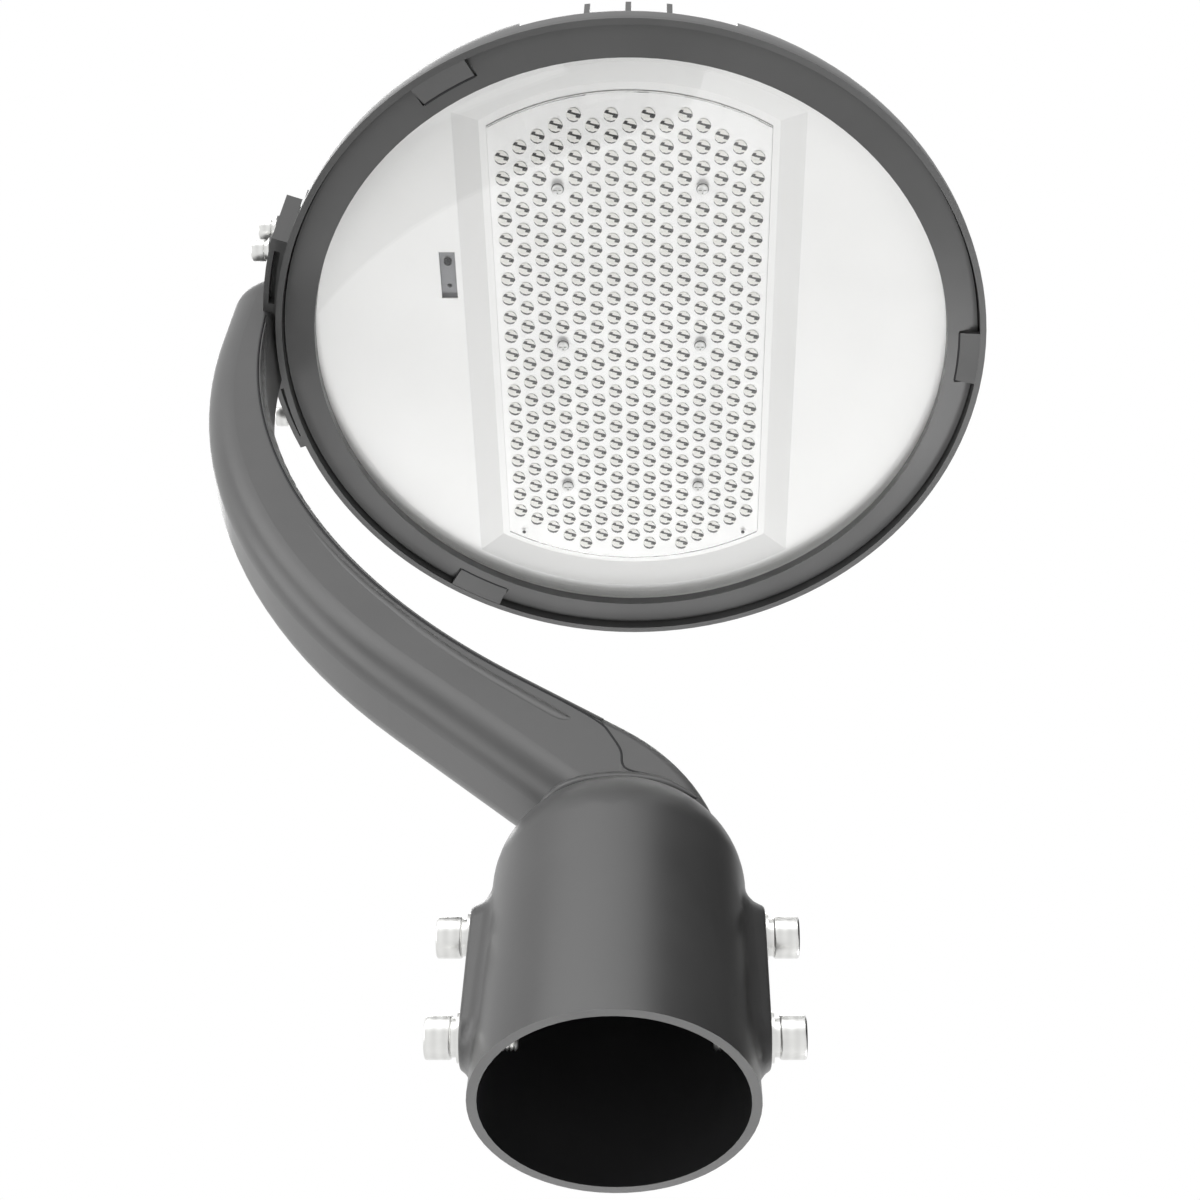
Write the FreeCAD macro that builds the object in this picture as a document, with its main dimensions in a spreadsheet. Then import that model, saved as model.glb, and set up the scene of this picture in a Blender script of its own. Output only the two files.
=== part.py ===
import FreeCAD, Part
import math
import os
import Sketcher

# Post top street light: a cast swan-neck arm with a pole socket carries a round LED head.
# Millimetres. Origin at the centre of the socket mouth, +Z up the pole, arm on the -X side.

SIZES = [
    # Pole socket
    ("bore_radius", 39.5),
    ("socket_wall", 3.0),
    ("socket_draft", 2.0),
    ("socket_blend", 4.0),
    ("dome_level", 80.5),
    ("dome_height", 34.4),
    ("pole_stop", 2.0),
    ("boss_stand", 3.4),
    ("boss_face_radius", 9.5),
    ("boss_root_radius", 15.0),
    ("boss_root_depth", 12.0),
    ("boss_blend", 8.0),
    ("boss_edge_round", 1.6),
    ("screw_level", 24.0),
    ("screw_pitch", 38.5),
    # Pole screws and their washers
    ("screw_diameter", 8.0),
    ("screw_head_diameter", 13.0),
    ("screw_head_length", 8.0),
    ("screw_key", 6.0),
    ("screw_reach", 10.5),
    ("washer_diameter", 15.0),
    ("washer_thickness", 0.9),
    ("spring_diameter", 11.6),
    ("spring_thickness", 1.7),
    ("thread_gap", 0.15),
    # Swan-neck arm, as two sides in its middle plane
    ("arm_width", 38.4),
    ("arm_outer_round", 12.0),
    ("arm_inner_round", 4.0),
    ("arm_foot_level", 74.5),
    ("outer_foot_x", -4.6),
    ("outer_bend", 40.0),
    ("outer_run", 91.4),
    ("outer_stand", 23.9),
    ("outer_drop", 4.5),
    ("inner_foot_x", 34.1),
    ("inner_bend", 81.2),
    ("inner_run", 46.8),
    ("inner_stand", 1.5),
    ("inner_rise", 13.5),
    ("arm_top_rise", 28.0),
    ("arm_cap_round", 26.0),
    ("arm_wall", 4.0),
    # Cover on the inner side of the arm, with a heel over the dome
    ("cover_thickness", 3.0),
    ("cover_gap", 0.3),
    ("cover_end_gap", 4.0),
    ("heel_x", 0.5),
    ("heel_level", 127.0),
    ("heel_lean", 11.0),
    ("heel_round", 9.0),
    ("heel_wall", 3.0),
    ("cover_screw_diameter", 4.0),
    ("cover_screw_length", 12.0),
    ("cover_screw_sink", 0.3),
    ("cover_screw_turn", 22.0),
    ("cover_post_diameter", 9.0),
    # Flange that bolts to the head
    ("flange_thickness", 7.5),
    ("flange_lift", 11.5),
    ("flange_half_angle", 19.4),
    ("flange_height", 43.0),
    ("flange_gasket_thickness", 1.0),
    ("gasket_skin", 0.05),
    ("gasket_inset", 1.0),
    ("flange_pocket_depth", 6.0),
    ("flange_pocket_wall", 2.4),
    ("flange_pocket_angle", 4.7),
    ("flange_pocket_middle", 12.6),
    ("bolt_side", 11.6),
    ("bolt_spot_depth", 0.5),
    ("bolt_edge", 10.0),
    ("bolt_pitch", 20.0),
    ("bolt_diameter", 6.0),
    ("bolt_head_diameter", 10.0),
    ("bolt_head_length", 6.0),
    ("bolt_key", 5.0),
    ("bolt_grip", 14.0),
    ("bolt_washer_diameter", 11.4),
    ("bolt_washer_thickness", 1.0),
    ("bolt_spring_diameter", 8.8),
    ("bolt_spring_thickness", 1.5),
    ("duct_level", 16.0),
    ("duct_hole_radius", 8.0),
    ("grommet_bore", 5.0),
    ("grommet_lip", 2.5),
    ("grommet_drop", 1.0),
    # Head housing
    ("head_level", 410.2),
    ("skirt_radius", 163.0),
    ("skirt_wall", 2.8),
    ("skirt_gap", 0.7),
    ("lip_drop", 1.2),
    ("band_wall", 7.5),
    ("side_wall", 2.5),
    ("crown_round", 47.0),
    ("roof_thickness", 3.0),
    ("cavity_step", 15.0),
    ("seat_width", 6.7),
    ("band_half_width", 45.5),
    ("band_slope", 7.0),
    ("band_edge", 2.8),
    ("band_edge_rise", 7.7),
    ("band_wall_thickness", 3.0),
    ("spreader_margin", 4.0),
    ("spreader_thickness", 4.0),
    ("fin_pitch", 17.2),
    ("fin_thickness", 2.4),
    ("fin_tip", 13.0),
    ("fin_crest", 34.0),
    ("fin_run", 40.0),
    ("pad_depth", 20.0),
    ("pad_margin", 2.0),
    ("lug_count", 3),
    ("lug_half_angle", 4.8),
    ("lug_width", 10.0),
    ("lug_thickness", 2.6),
    ("lug_tip", 1.5),
    ("lug_root", 1.0),
    ("notch_play", 0.4),
    # Bezel, glass and its gasket
    ("glass_lap", 6.5),
    ("bezel_rise", 3.3),
    ("bezel_wall", 4.0),
    ("bezel_lip", 1.8),
    ("glass_depth", 5.3),
    ("glass_thickness", 4.0),
    ("glass_play", 3.5),
    ("gasket_lap", 4.5),
    ("gasket_floor", 1.0),
    ("gasket_roof", 1.5),
    ("seat_gap", 0.3),
    # Reflector sheet
    ("sheet_thickness", 1.0),
    ("recess_half_width", 76.5),
    ("recess_margin", 5.5),
    ("recess_slope", 11.0),
    ("recess_depth", 5.0),
    ("slot_gap", 2.7),
    ("slot_y", -38.2),
    ("slot_width", 7.2),
    ("slot_length", 23.6),
    # LED board and lens plate
    ("board_side_gap", 3.5),
    ("board_end_gap", 4.0),
    ("board_thickness", 1.6),
    ("lens_plate_thickness", 2.0),
    ("lens_height", 2.6),
    ("lens_diameter", 6.6),
    ("lens_pitch_x", 8.0),
    ("lens_pitch_y", 10.0),
    ("lens_margin", 7.0),
    ("lens_screw_rows", 8),
    ("lens_screw_columns", 4),
    ("lens_screw_head", 5.0),
    ("lens_screw_head_height", 1.6),
    ("lens_screw_diameter", 2.8),
    ("lens_screw_bite", 3.0),
    # Service tab seen through the slot
    ("tab_thickness", 1.5),
    ("tab_lift", 1.5),
    ("tab_margin", 1.2),
    ("tab_screw_offset", -6.0),
    ("tab_screw_head", 3.6),
    ("tab_screw_head_height", 1.2),
    ("tab_screw_diameter", 2.0),
    ("tab_screw_bite", 5.5),
    ("tab_hole_offset", 6.5),
    ("tab_hole_radius", 1.1),
    ("tab_post_radius", 3.4),
    # Driver and terminal block on the roof of the left compartment
    ("driver_gap", 7.5),
    ("driver_width", 44.0),
    ("driver_end_gap", 9.5),
    ("driver_height", 22.0),
    ("driver_ear_length", 10.0),
    ("driver_ear_width", 16.0),
    ("driver_ear_thickness", 3.0),
    ("driver_screw_head", 7.0),
    ("driver_screw_head_height", 2.4),
    ("driver_screw_diameter", 3.6),
    ("driver_screw_bite", 2.2),
    ("terminal_gap", 9.0),
    ("terminal_end_gap", 2.2),
    ("terminal_width", 21.0),
    ("terminal_length", 13.0),
    ("terminal_height", 14.0),
    ("terminal_poles", 3),
    ("terminal_screw_diameter", 4.0),
    ("terminal_screw_depth", 3.0),
]

doc = FreeCAD.newDocument("post_top_light")
sheet = doc.addObject("Spreadsheet::Sheet", "dim")
for row, (alias, value) in enumerate(SIZES, start=1):
    sheet.set(f"A{row}", alias)
    sheet.set(f"B{row}", str(value))
    sheet.setAlias(f"B{row}", alias)
doc.recompute()


class Size:
    """A length or angle that carries both its value and its sheet expression."""

    def __init__(self, value, text):
        self.value = float(value)
        self.text = text

    def __add__(self, other):
        other = sized(other)
        return Size(self.value + other.value, f"({self.text} + {other.text})")

    def __sub__(self, other):
        other = sized(other)
        return Size(self.value - other.value, f"({self.text} - {other.text})")

    def __mul__(self, other):
        other = sized(other)
        return Size(self.value * other.value, f"({self.text} * {other.text})")

    def __truediv__(self, other):
        other = sized(other)
        return Size(self.value / other.value, f"({self.text} / {other.text})")

    def __radd__(self, other):
        return sized(other) + self

    def __rsub__(self, other):
        return sized(other) - self

    def __rmul__(self, other):
        return sized(other) * self

    def __rtruediv__(self, other):
        return sized(other) / self

    def __neg__(self):
        return Size(-self.value, f"(-1 * {self.text})")


def sized(number):
    return number if isinstance(number, Size) else Size(number, repr(float(number)))


def sine(angle):
    return Size(math.sin(math.radians(angle.value)), f"sin({angle.text} * 1 deg)")


def cosine(angle):
    return Size(math.cos(math.radians(angle.value)), f"cos({angle.text} * 1 deg)")


def root(square):
    return Size(math.sqrt(square.value), f"sqrt({square.text})")


def arctangent(share):
    return Size(math.degrees(math.atan(share.value)), f"(atan({share.text}) / 1 deg)")


class Sheet:
    """Reads a named size of the spreadsheet as an attribute."""

    def __getattr__(self, alias):
        return Size(sheet.get(alias), f"dim.{alias}")


d = Sheet()
nodes = []
worked_out = doc.addObject("App::VarSet", "worked_out")


def worked(name, size):
    """Keeps a value that follows from the named sizes under a name of its own."""
    worked_out.addProperty("App::PropertyFloat", name, "Arm")
    worked_out.setExpression(name, size.text)
    return Size(size.value, f"worked_out.{name}")


X_AXIS = FreeCAD.Vector(1, 0, 0)
Y_AXIS = FreeCAD.Vector(0, 1, 0)
Z_AXIS = FreeCAD.Vector(0, 0, 1)
UPRIGHT = FreeCAD.Rotation()
ALONG_X = FreeCAD.Rotation(Y_AXIS, 90)
ALONG_Y = FreeCAD.Rotation(X_AXIS, -90)


def bind(item, **sizes):
    for name, size in sizes.items():
        item.setExpression(name, sized(size).text)
    return item


def place(item, x=0, y=0, z=0, turn=UPRIGHT):
    item.Placement = FreeCAD.Placement(FreeCAD.Vector(), turn)
    for axis, size in zip("xyz", (x, y, z)):
        item.setExpression(f"Placement.Base.{axis}", sized(size).text)
    return item


def box(name, low, size):
    item = bind(doc.addObject("Part::Box", name), Length=size[0], Width=size[1], Height=size[2])
    return place(item, *low)


def rod(name, radius, length, base, turn=UPRIGHT):
    item = bind(doc.addObject("Part::Cylinder", name), Radius=radius, Height=length)
    return place(item, *base, turn)


def cone(name, start_radius, end_radius, length, base, turn=UPRIGHT):
    item = doc.addObject("Part::Cone", name)
    bind(item, Radius1=start_radius, Radius2=end_radius, Height=length)
    return place(item, *base, turn)


def dome(name, radius, height):
    """Whole ellipsoid whose upper half closes the socket."""
    item = doc.addObject("Part::Ellipsoid", name)
    bind(item, Radius1=height, Radius2=radius, Radius3=radius)
    return place(item, 0, 0, d.dome_level)


def wedge(name, levels, halves, spans, base=(0, 0, 0), turn=FreeCAD.Rotation(X_AXIS, 90)):
    """Block whose half width, and its span along the third axis, change from one level to the next."""
    item = doc.addObject("Part::Wedge", name)
    bind(item, Ymin=levels[0], Ymax=levels[1])
    bind(item, Xmin=-sized(halves[0]), Xmax=halves[0], X2min=-sized(halves[1]), X2max=halves[1])
    bind(item, Zmin=spans[0], Zmax=spans[1], Z2min=spans[0], Z2max=spans[1])
    return place(item, *base, turn)


def sector(name, radius, low, height, middle, half_angle):
    """Slice of a disc, centred on a compass angle."""
    item = bind(doc.addObject("Part::Cylinder", name), Radius=radius, Height=height, Angle=2 * half_angle)
    item.Placement = FreeCAD.Placement(FreeCAD.Vector(), FreeCAD.Rotation(Z_AXIS, 1))
    item.setExpression("Placement.Rotation.Angle", f"({sized(middle - half_angle).text}) * 1 deg")
    item.setExpression("Placement.Base.z", sized(low).text)
    return item


def arc_block(name, inner, outer, low, height, middle, half_angle):
    core = rod(f"{name}_core", inner, height + 2, (0, 0, low - 1))
    return cut(name, sector(f"{name}_slice", outer, low, height, middle, half_angle), core)


def fuse(name, *items):
    item = doc.addObject("Part::MultiFuse", name)
    item.Shapes = list(items)
    return item


def cut(name, base, *tools):
    item = doc.addObject("Part::Cut", name)
    item.Base = base
    item.Tool = tools[0] if len(tools) == 1 else fuse(f"{name}_tools", *tools)
    return item


def common(name, *items):
    item = doc.addObject("Part::MultiCommon", name)
    item.Shapes = list(items)
    return item


def group(name, items):
    item = doc.addObject("Part::Compound", name)
    item.Links = list(items)
    return item


def node(label, item):
    """Names a finished sub-part, which is written to a file of that name."""
    item.Label = label
    nodes.append(item)
    return item


def plane_of(body, role):
    return [feature for feature in body.Origin.OriginFeatures if feature.Role == role][0]


def sketch_on(body, name, role, lift=0):
    sketch = body.newObject("Sketcher::SketchObject", name)
    sketch.AttachmentSupport = [(plane_of(body, role), "")]
    sketch.MapMode = "FlatFace"
    sketch.setExpression("AttachmentOffset.Base.z", sized(lift).text)
    return sketch


def hold(sketch, kind, *spots, size):
    index = sketch.addConstraint(Sketcher.Constraint(kind, *spots, sized(size).value))
    sketch.setExpression(f"Constraints[{index}]", sized(size).text)


def outline(sketch, corners):
    """Closed straight-sided outline with each corner held at its own place."""
    spots = [FreeCAD.Vector(sized(x).value, sized(y).value, 0) for x, y in corners]
    count = len(spots)
    for index in range(count):
        sketch.addGeometry(Part.LineSegment(spots[index], spots[(index + 1) % count]), False)
    for index in range(count):
        sketch.addConstraint(Sketcher.Constraint("Coincident", index, 2, (index + 1) % count, 1))
    for index, (x, y) in enumerate(corners):
        for kind, axis, size in (("DistanceX", -2, sized(x)), ("DistanceY", -1, sized(y))):
            if size.text == "0.0":
                sketch.addConstraint(Sketcher.Constraint("PointOnObject", index, 1, axis))
            else:
                hold(sketch, kind, -1, 1, index, 1, size=size)


def turned(name, corners):
    """Body turned about the pole axis from an outline of radius and height."""
    body = doc.addObject("PartDesign::Body", name)
    sketch = sketch_on(body, f"{name}_profile", "XZ_Plane")
    outline(sketch, corners)
    turn = body.newObject("PartDesign::Revolution", f"{name}_turn")
    turn.Profile = sketch
    turn.ReferenceAxis = (sketch, ["V_Axis"])
    turn.Angle = 360
    return body


def soften(body, name, radius, level, edge_radius):
    """Rounds the circular edge of a turned body at one level."""
    doc.recompute()
    base = body.Tip
    picked = []
    for index, edge in enumerate(base.Shape.Edges, start=1):
        circle = edge.Curve
        if not isinstance(circle, Part.Circle):
            continue
        if abs(circle.Center.z - level.value) < 0.01 and abs(circle.Radius - edge_radius.value) < 0.01:
            picked.append(f"Edge{index}")
    fillet = body.newObject("PartDesign::Fillet", name)
    fillet.Base = (base, picked)
    fillet.setExpression("Radius", radius.text)
    return body


# Shared levels and radii

mouth_radius = d.bore_radius + d.socket_wall
dome_radius = mouth_radius - d.socket_draft
boss_face = mouth_radius + d.boss_stand
screw_levels = (d.screw_level, d.screw_level + d.screw_pitch)

lip_level = d.head_level - d.lip_drop
glass_level = d.head_level + d.glass_depth
glass_top = glass_level + d.glass_thickness
gasket_bottom = glass_level - d.gasket_floor
sheet_level = glass_top + d.gasket_roof
seat_level = sheet_level + d.sheet_thickness
skirt_inner = d.skirt_radius - d.skirt_wall
cavity_radius = skirt_inner - d.seat_width
bezel_radius = skirt_inner - d.skirt_gap
glass_radius = bezel_radius - d.bezel_wall - d.glass_play
opening_radius = glass_radius - d.glass_lap
recess_radius = opening_radius - d.recess_margin
board_radius = recess_radius - d.recess_slope - d.board_end_gap
board_half = d.recess_half_width - d.recess_slope - d.board_side_gap
spreader_half = board_half + d.spreader_margin
slot_x = -(d.recess_half_width + d.slot_gap + d.slot_width / 2)
band_outside = d.band_half_width + d.band_wall_thickness
driver_x = -(band_outside + d.driver_gap + d.driver_width / 2)
terminal_x = -(band_outside + d.terminal_gap + d.terminal_width / 2)
ceiling_radius = cavity_radius - (d.crown_round - d.cavity_step)
terminal_far = d.terminal_width / 2 - terminal_x
terminal_y = (root(ceiling_radius * ceiling_radius - terminal_far * terminal_far)
              - d.terminal_length / 2 - d.terminal_end_gap)
driver_length = 2 * (terminal_y - d.terminal_length / 2 - d.driver_end_gap - d.driver_ear_length)
band_level = lip_level + d.band_wall
crown_level = lip_level + d.side_wall
roof_level = crown_level + d.crown_round
ceiling = roof_level - d.roof_thickness
spreader_level = sheet_level + d.recess_depth + d.sheet_thickness
floor_level = spreader_level + d.spreader_thickness
board_level = spreader_level - d.board_thickness
plate_level = board_level - d.lens_plate_thickness

pad_radius = d.skirt_radius - d.flange_gasket_thickness
flange_inner = d.skirt_radius
flange_outer = flange_inner + d.flange_thickness
flange_level = lip_level + d.flange_lift
flange_top = flange_level + d.flange_height
duct_level = flange_level + d.duct_level
bolt_levels = (flange_level + d.bolt_edge, flange_level + d.bolt_edge + d.bolt_pitch)
bolt_spread = flange_outer * sine(d.flange_half_angle) - d.bolt_side
bolt_seat = root(flange_outer * flange_outer - bolt_spread * bolt_spread) - d.bolt_spot_depth
WEST = sized(180)


# Arm sides: each rises from the dome, bends over, runs straight and bends back upright

class Side:
    """One side of the arm in its middle plane; slope is the tangent of half its turn."""

    def __init__(self, foot_x, bend, run, arc, slope):
        self.foot_x, self.bend, self.run, self.arc, self.slope = foot_x, bend, run, arc, slope
        self.turn = 2 * arctangent(slope)
        square = slope * slope
        cosine_turn = (1 - square) / (1 + square)
        sine_turn = 2 * slope / (1 + square)
        self.bend_x = foot_x - bend * (1 - cosine_turn)
        self.bend_z = d.arm_foot_level + bend * sine_turn
        self.run_x = self.bend_x - run * sine_turn
        self.run_z = self.bend_z + run * cosine_turn
        self.top_x = self.run_x - arc * (1 - cosine_turn)
        self.top_z = self.run_z + arc * sine_turn

    def moved(self, step):
        """The same side, moved square to itself towards +X at the foot."""
        return Side(self.foot_x + step, self.bend + step, self.run, self.arc - step, self.slope)

    def corners(self, low, high):
        return [(self.foot_x, low), (self.foot_x, d.arm_foot_level), (self.bend_x, self.bend_z),
                (self.run_x, self.run_z), (self.top_x, self.top_z), (self.top_x, high)]

    def draw(self, sketch, low, high):
        """Adds the five tangent pieces of the side and returns the index of the first."""
        first = sketch.GeometryCount
        spots = [FreeCAD.Vector(x.value, z.value, 0) for x, z in self.corners(low, high)]
        turn = math.radians(self.turn.value)
        foot_centre = spots[1] - FreeCAD.Vector(self.bend.value, 0, 0)
        arc_centre = spots[4] + FreeCAD.Vector(self.arc.value, 0, 0)
        foot_circle = Part.Circle(foot_centre, Z_AXIS, self.bend.value)
        arc_circle = Part.Circle(arc_centre, Z_AXIS, self.arc.value)
        sketch.addGeometry(Part.LineSegment(spots[0], spots[1]), False)
        sketch.addGeometry(Part.ArcOfCircle(foot_circle, 0, turn), False)
        sketch.addGeometry(Part.LineSegment(spots[2], spots[3]), False)
        sketch.addGeometry(Part.ArcOfCircle(arc_circle, math.pi, math.pi + turn), False)
        sketch.addGeometry(Part.LineSegment(spots[4], spots[5]), False)
        hold(sketch, "DistanceX", -1, 1, first, 1, size=self.foot_x)
        hold(sketch, "DistanceY", -1, 1, first, 1, size=low)
        sketch.addConstraint(Sketcher.Constraint("Vertical", first))
        hold(sketch, "DistanceY", -1, 1, first, 2, size=d.arm_foot_level)
        sketch.addConstraint(Sketcher.Constraint("Tangent", first, 2, first + 1, 1))
        hold(sketch, "Radius", first + 1, size=self.bend)
        sketch.addConstraint(Sketcher.Constraint("Tangent", first + 1, 2, first + 2, 1))
        hold(sketch, "DistanceX", -1, 1, first + 2, 1, size=self.bend_x)
        hold(sketch, "DistanceX", -1, 1, first + 2, 2, size=self.run_x)
        sketch.addConstraint(Sketcher.Constraint("Tangent", first + 2, 2, first + 3, 2))
        hold(sketch, "Radius", first + 3, size=self.arc)
        sketch.addConstraint(Sketcher.Constraint("Tangent", first + 3, 1, first + 4, 1))
        sketch.addConstraint(Sketcher.Constraint("Vertical", first + 4))
        hold(sketch, "DistanceY", -1, 1, first + 4, 2, size=high)
        return first


def fitted_side(name, foot_x, bend, run, stand, straight_level):
    """A side whose turn and long bend follow from its foot on the dome and its place at the head."""
    reach = foot_x + d.skirt_radius + stand
    rise = straight_level - d.arm_foot_level
    slope = worked(f"{name}_slope", reach / (run + rise))
    square = slope * slope
    arc = worked(f"{name}_arc", rise / slope - reach * (1 - square) / (2 * square) - bend)
    return Side(foot_x, bend, run, arc, slope)


outer_side = fitted_side("outer", d.outer_foot_x, d.outer_bend, d.outer_run, d.outer_stand, lip_level - d.outer_drop)
inner_side = fitted_side("inner", d.inner_foot_x, d.inner_bend, d.inner_run, d.inner_stand, lip_level + d.inner_rise)
arm_top_level = lip_level + d.arm_top_rise
arm_half = d.arm_width / 2
FOOT_RUN = 10.0
arm_foot = d.arm_foot_level - FOOT_RUN


def padded(body, sketch, half):
    """Thickens a side sketch evenly to both sides of the arm's middle plane."""
    pad = body.newObject("PartDesign::Pad", f"{body.Name}_pad")
    pad.Profile = sketch
    pad.SideType = "Symmetric"
    bind(pad, Length=2 * half)
    return pad


def slab(name, left, right, half, low, high):
    """Bar between two sides of the arm, from one level to another."""
    body = doc.addObject("PartDesign::Body", name)
    sketch = sketch_on(body, f"{name}_outline", "XZ_Plane")
    first = left.draw(sketch, low, high)
    second = right.draw(sketch, low, high)
    for start, end, spot in ((first, second, 1), (first + 4, second + 4, 2)):
        a, b = sketch.getPoint(start, spot), sketch.getPoint(end, spot)
        line = sketch.addGeometry(Part.LineSegment(a, b), False)
        sketch.addConstraint(Sketcher.Constraint("Coincident", start, spot, line, 1))
        sketch.addConstraint(Sketcher.Constraint("Coincident", end, spot, line, 2))
    padded(body, sketch, half)
    return body


def soften_side(body, name, corners, half, radius):
    """Rounds the long edges of one side, found by the corners of its outline."""
    doc.recompute()
    base = body.Tip

    def on_side(vertex):
        spot = vertex.Point
        return abs(abs(spot.y) - half.value) < 0.01 and any(
            abs(spot.x - x.value) < 0.01 and abs(spot.z - z.value) < 0.01 for x, z in corners)

    picked = []
    for index, edge in enumerate(base.Shape.Edges, start=1):
        ends = edge.Vertexes
        if len(ends) == 2 and ends[0].Point.y * ends[1].Point.y > 0 and all(on_side(end) for end in ends):
            picked.append(f"Edge{index}")
    fillet = body.newObject("PartDesign::Fillet", name)
    fillet.Base = (base, picked)
    fillet.setExpression("Radius", sized(radius).text)
    return body


def along(radius, length, name, base, side):
    """Rod along X, out of the middle towards one side."""
    return rod(name, radius, length, base, FreeCAD.Rotation(Y_AXIS, 90 * side))


SIDES = (("left", -1), ("right", 1))
OVERSHOOT = 5.0


# Arm casting: socket, dome, swan neck and head flange in one piece

def socket_blank():
    pieces = [cone("socket_shell", mouth_radius, dome_radius, d.dome_level, (0, 0, 0)),
              dome("socket_dome", dome_radius, d.dome_height)]
    root_x = boss_face - d.boss_root_depth
    for side_name, side in SIDES:
        turn = FreeCAD.Rotation(Y_AXIS, 90 * side)
        for index, level in enumerate(screw_levels):
            pieces.append(cone(f"boss_{side_name}_{index}", d.boss_root_radius, d.boss_face_radius,
                               d.boss_root_depth, (side * root_x, 0, level), turn))
        pieces.append(wedge(f"boss_{side_name}_web", (0, d.boss_root_depth),
                            (d.boss_root_radius, d.boss_face_radius), screw_levels,
                            (side * root_x, 0, 0), FreeCAD.Rotation(Z_AXIS, -90 * side)))
    return pieces


def arm_bar():
    """The solid swan neck, rounded along its outer side and closed by a rounded top."""
    body = slab("arm_bar", outer_side, inner_side, arm_half, arm_foot, arm_top_level)
    soften_side(body, "arm_outer_edges", outer_side.corners(arm_foot, arm_top_level), arm_half, d.arm_outer_round)
    soften_side(body, "arm_inner_edges", inner_side.corners(arm_foot, arm_top_level), arm_half, d.arm_inner_round)
    return body


def arm_cap():
    """Rounded top end of the arm, turning over towards the head."""
    body = doc.addObject("PartDesign::Body", "arm_cap")
    sketch = sketch_on(body, "arm_cap_outline", "XZ_Plane")
    left, right, low = outer_side.top_x, inner_side.top_x + d.arm_cap_round, arm_top_level - OVERSHOOT
    outline(sketch, [(left, low), (left, arm_top_level + d.arm_cap_round),
                     (right, arm_top_level + d.arm_cap_round), (right, low)])
    padded(body, sketch, arm_half)
    top = arm_top_level + d.arm_cap_round
    soften_corner(body, "arm_cap_bend", left, top, d.arm_cap_round)
    doc.recompute()
    base = body.Tip
    picked = []
    for index, edge in enumerate(base.Shape.Edges, start=1):
        middle = edge.valueAt((edge.FirstParameter + edge.LastParameter) / 2)
        inside = middle.x < right.value - 0.01 and middle.z > low.value + 0.01
        if inside and abs(abs(middle.y) - arm_half.value) < 0.01:
            picked.append(f"Edge{index}")
    fillet = body.newObject("PartDesign::Fillet", "arm_cap_edges")
    fillet.Base = (base, picked)
    bind(fillet, Radius=d.arm_outer_round)
    return body


def soften_corner(body, name, x, z, radius):
    """Rounds the edge that runs across the arm at one place of its outline."""
    doc.recompute()
    base = body.Tip
    picked = []
    for index, edge in enumerate(base.Shape.Edges, start=1):
        if all(abs(end.Point.x - x.value) < 0.01 and abs(end.Point.z - z.value) < 0.01 for end in edge.Vertexes):
            picked.append(f"Edge{index}")
    fillet = body.newObject("PartDesign::Fillet", name)
    fillet.Base = (base, picked)
    bind(fillet, Radius=radius)
    return body


cover_top = flange_level - d.cover_end_gap


def heel_room(name, gap):
    """Side of the heel that belongs to the cover, right of its curved seam."""
    body = doc.addObject("PartDesign::Body", name)
    sketch = sketch_on(body, f"{name}_outline", "XZ_Plane")
    left = d.heel_x - gap
    far = d.inner_foot_x + 2 * OVERSHOOT
    high = d.heel_level + 2 * d.heel_lean
    outline(sketch, [(left, arm_foot - OVERSHOOT), (far, arm_foot - OVERSHOOT), (far, high),
                     (left - d.heel_lean, high), (left, d.heel_level)])
    padded(body, sketch, arm_half + OVERSHOOT)
    return soften_corner(body, f"{name}_bend", left, d.heel_level, 2 * d.heel_round)


def cover_room(name, gap, reach, half):
    """Room of the cover: a strip along the inner side and the heel over the dome."""
    strip = slab(f"{name}_strip", inner_side.moved(-(d.cover_thickness + gap)), inner_side.moved(reach), half,
                 arm_foot, arm_top_level)
    above = box(f"{name}_above", (inner_side.top_x - d.arm_width, -2 * d.arm_width, cover_top + gap),
                (2 * d.arm_width, 4 * d.arm_width, arm_top_level - cover_top + OVERSHOOT))
    heel = common(f"{name}_heel", heel_room(f"{name}_heel_side", gap),
                  slab(f"{name}_foot", outer_side, inner_side.moved(reach), half, arm_foot, arm_top_level))
    return fuse(name, cut(f"{name}_length", strip, above), heel)


def cover_screw_spots():
    """Place and slope of each cover screw on the inner face of the arm."""
    run_spot = ((inner_side.bend_x + inner_side.run_x) / 2, (inner_side.bend_z + inner_side.run_z) / 2)
    bend_spot = (inner_side.top_x + inner_side.arc * (1 - cosine(d.cover_screw_turn)),
                 inner_side.top_z - inner_side.arc * sine(d.cover_screw_turn))
    return [(*run_spot, inner_side.turn), (*bend_spot, d.cover_screw_turn)]


def inward(item, x, z, turn, sink):
    """Stands an item under the arm's inner face, pointing into the arm."""
    item.Placement = FreeCAD.Placement(FreeCAD.Vector(), FreeCAD.Rotation(Y_AXIS, 1))
    item.setExpression("Placement.Base.x", (x - sink * cosine(turn)).text)
    item.setExpression("Placement.Base.z", (z - sink * sine(turn)).text)
    item.setExpression("Placement.Rotation.Angle", f"(270 - {turn.text}) * 1 deg")
    return item


def cover_screw(name, spot, gap=0):
    """Countersunk screw just under the cover's face, or its hole when a gap is given."""
    head = cone(f"{name}_head", d.cover_screw_diameter + gap, d.cover_screw_diameter / 2 + gap,
                d.cover_screw_diameter / 2, (0, 0, 0))
    shank = rod(f"{name}_shank", d.cover_screw_diameter / 2 + gap, d.cover_screw_length + gap, (0, 0, 0))
    sink = d.cover_screw_sink - gap
    return fuse(name, *[inward(piece, *spot, sink=sink) for piece in (head, shank)])


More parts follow.
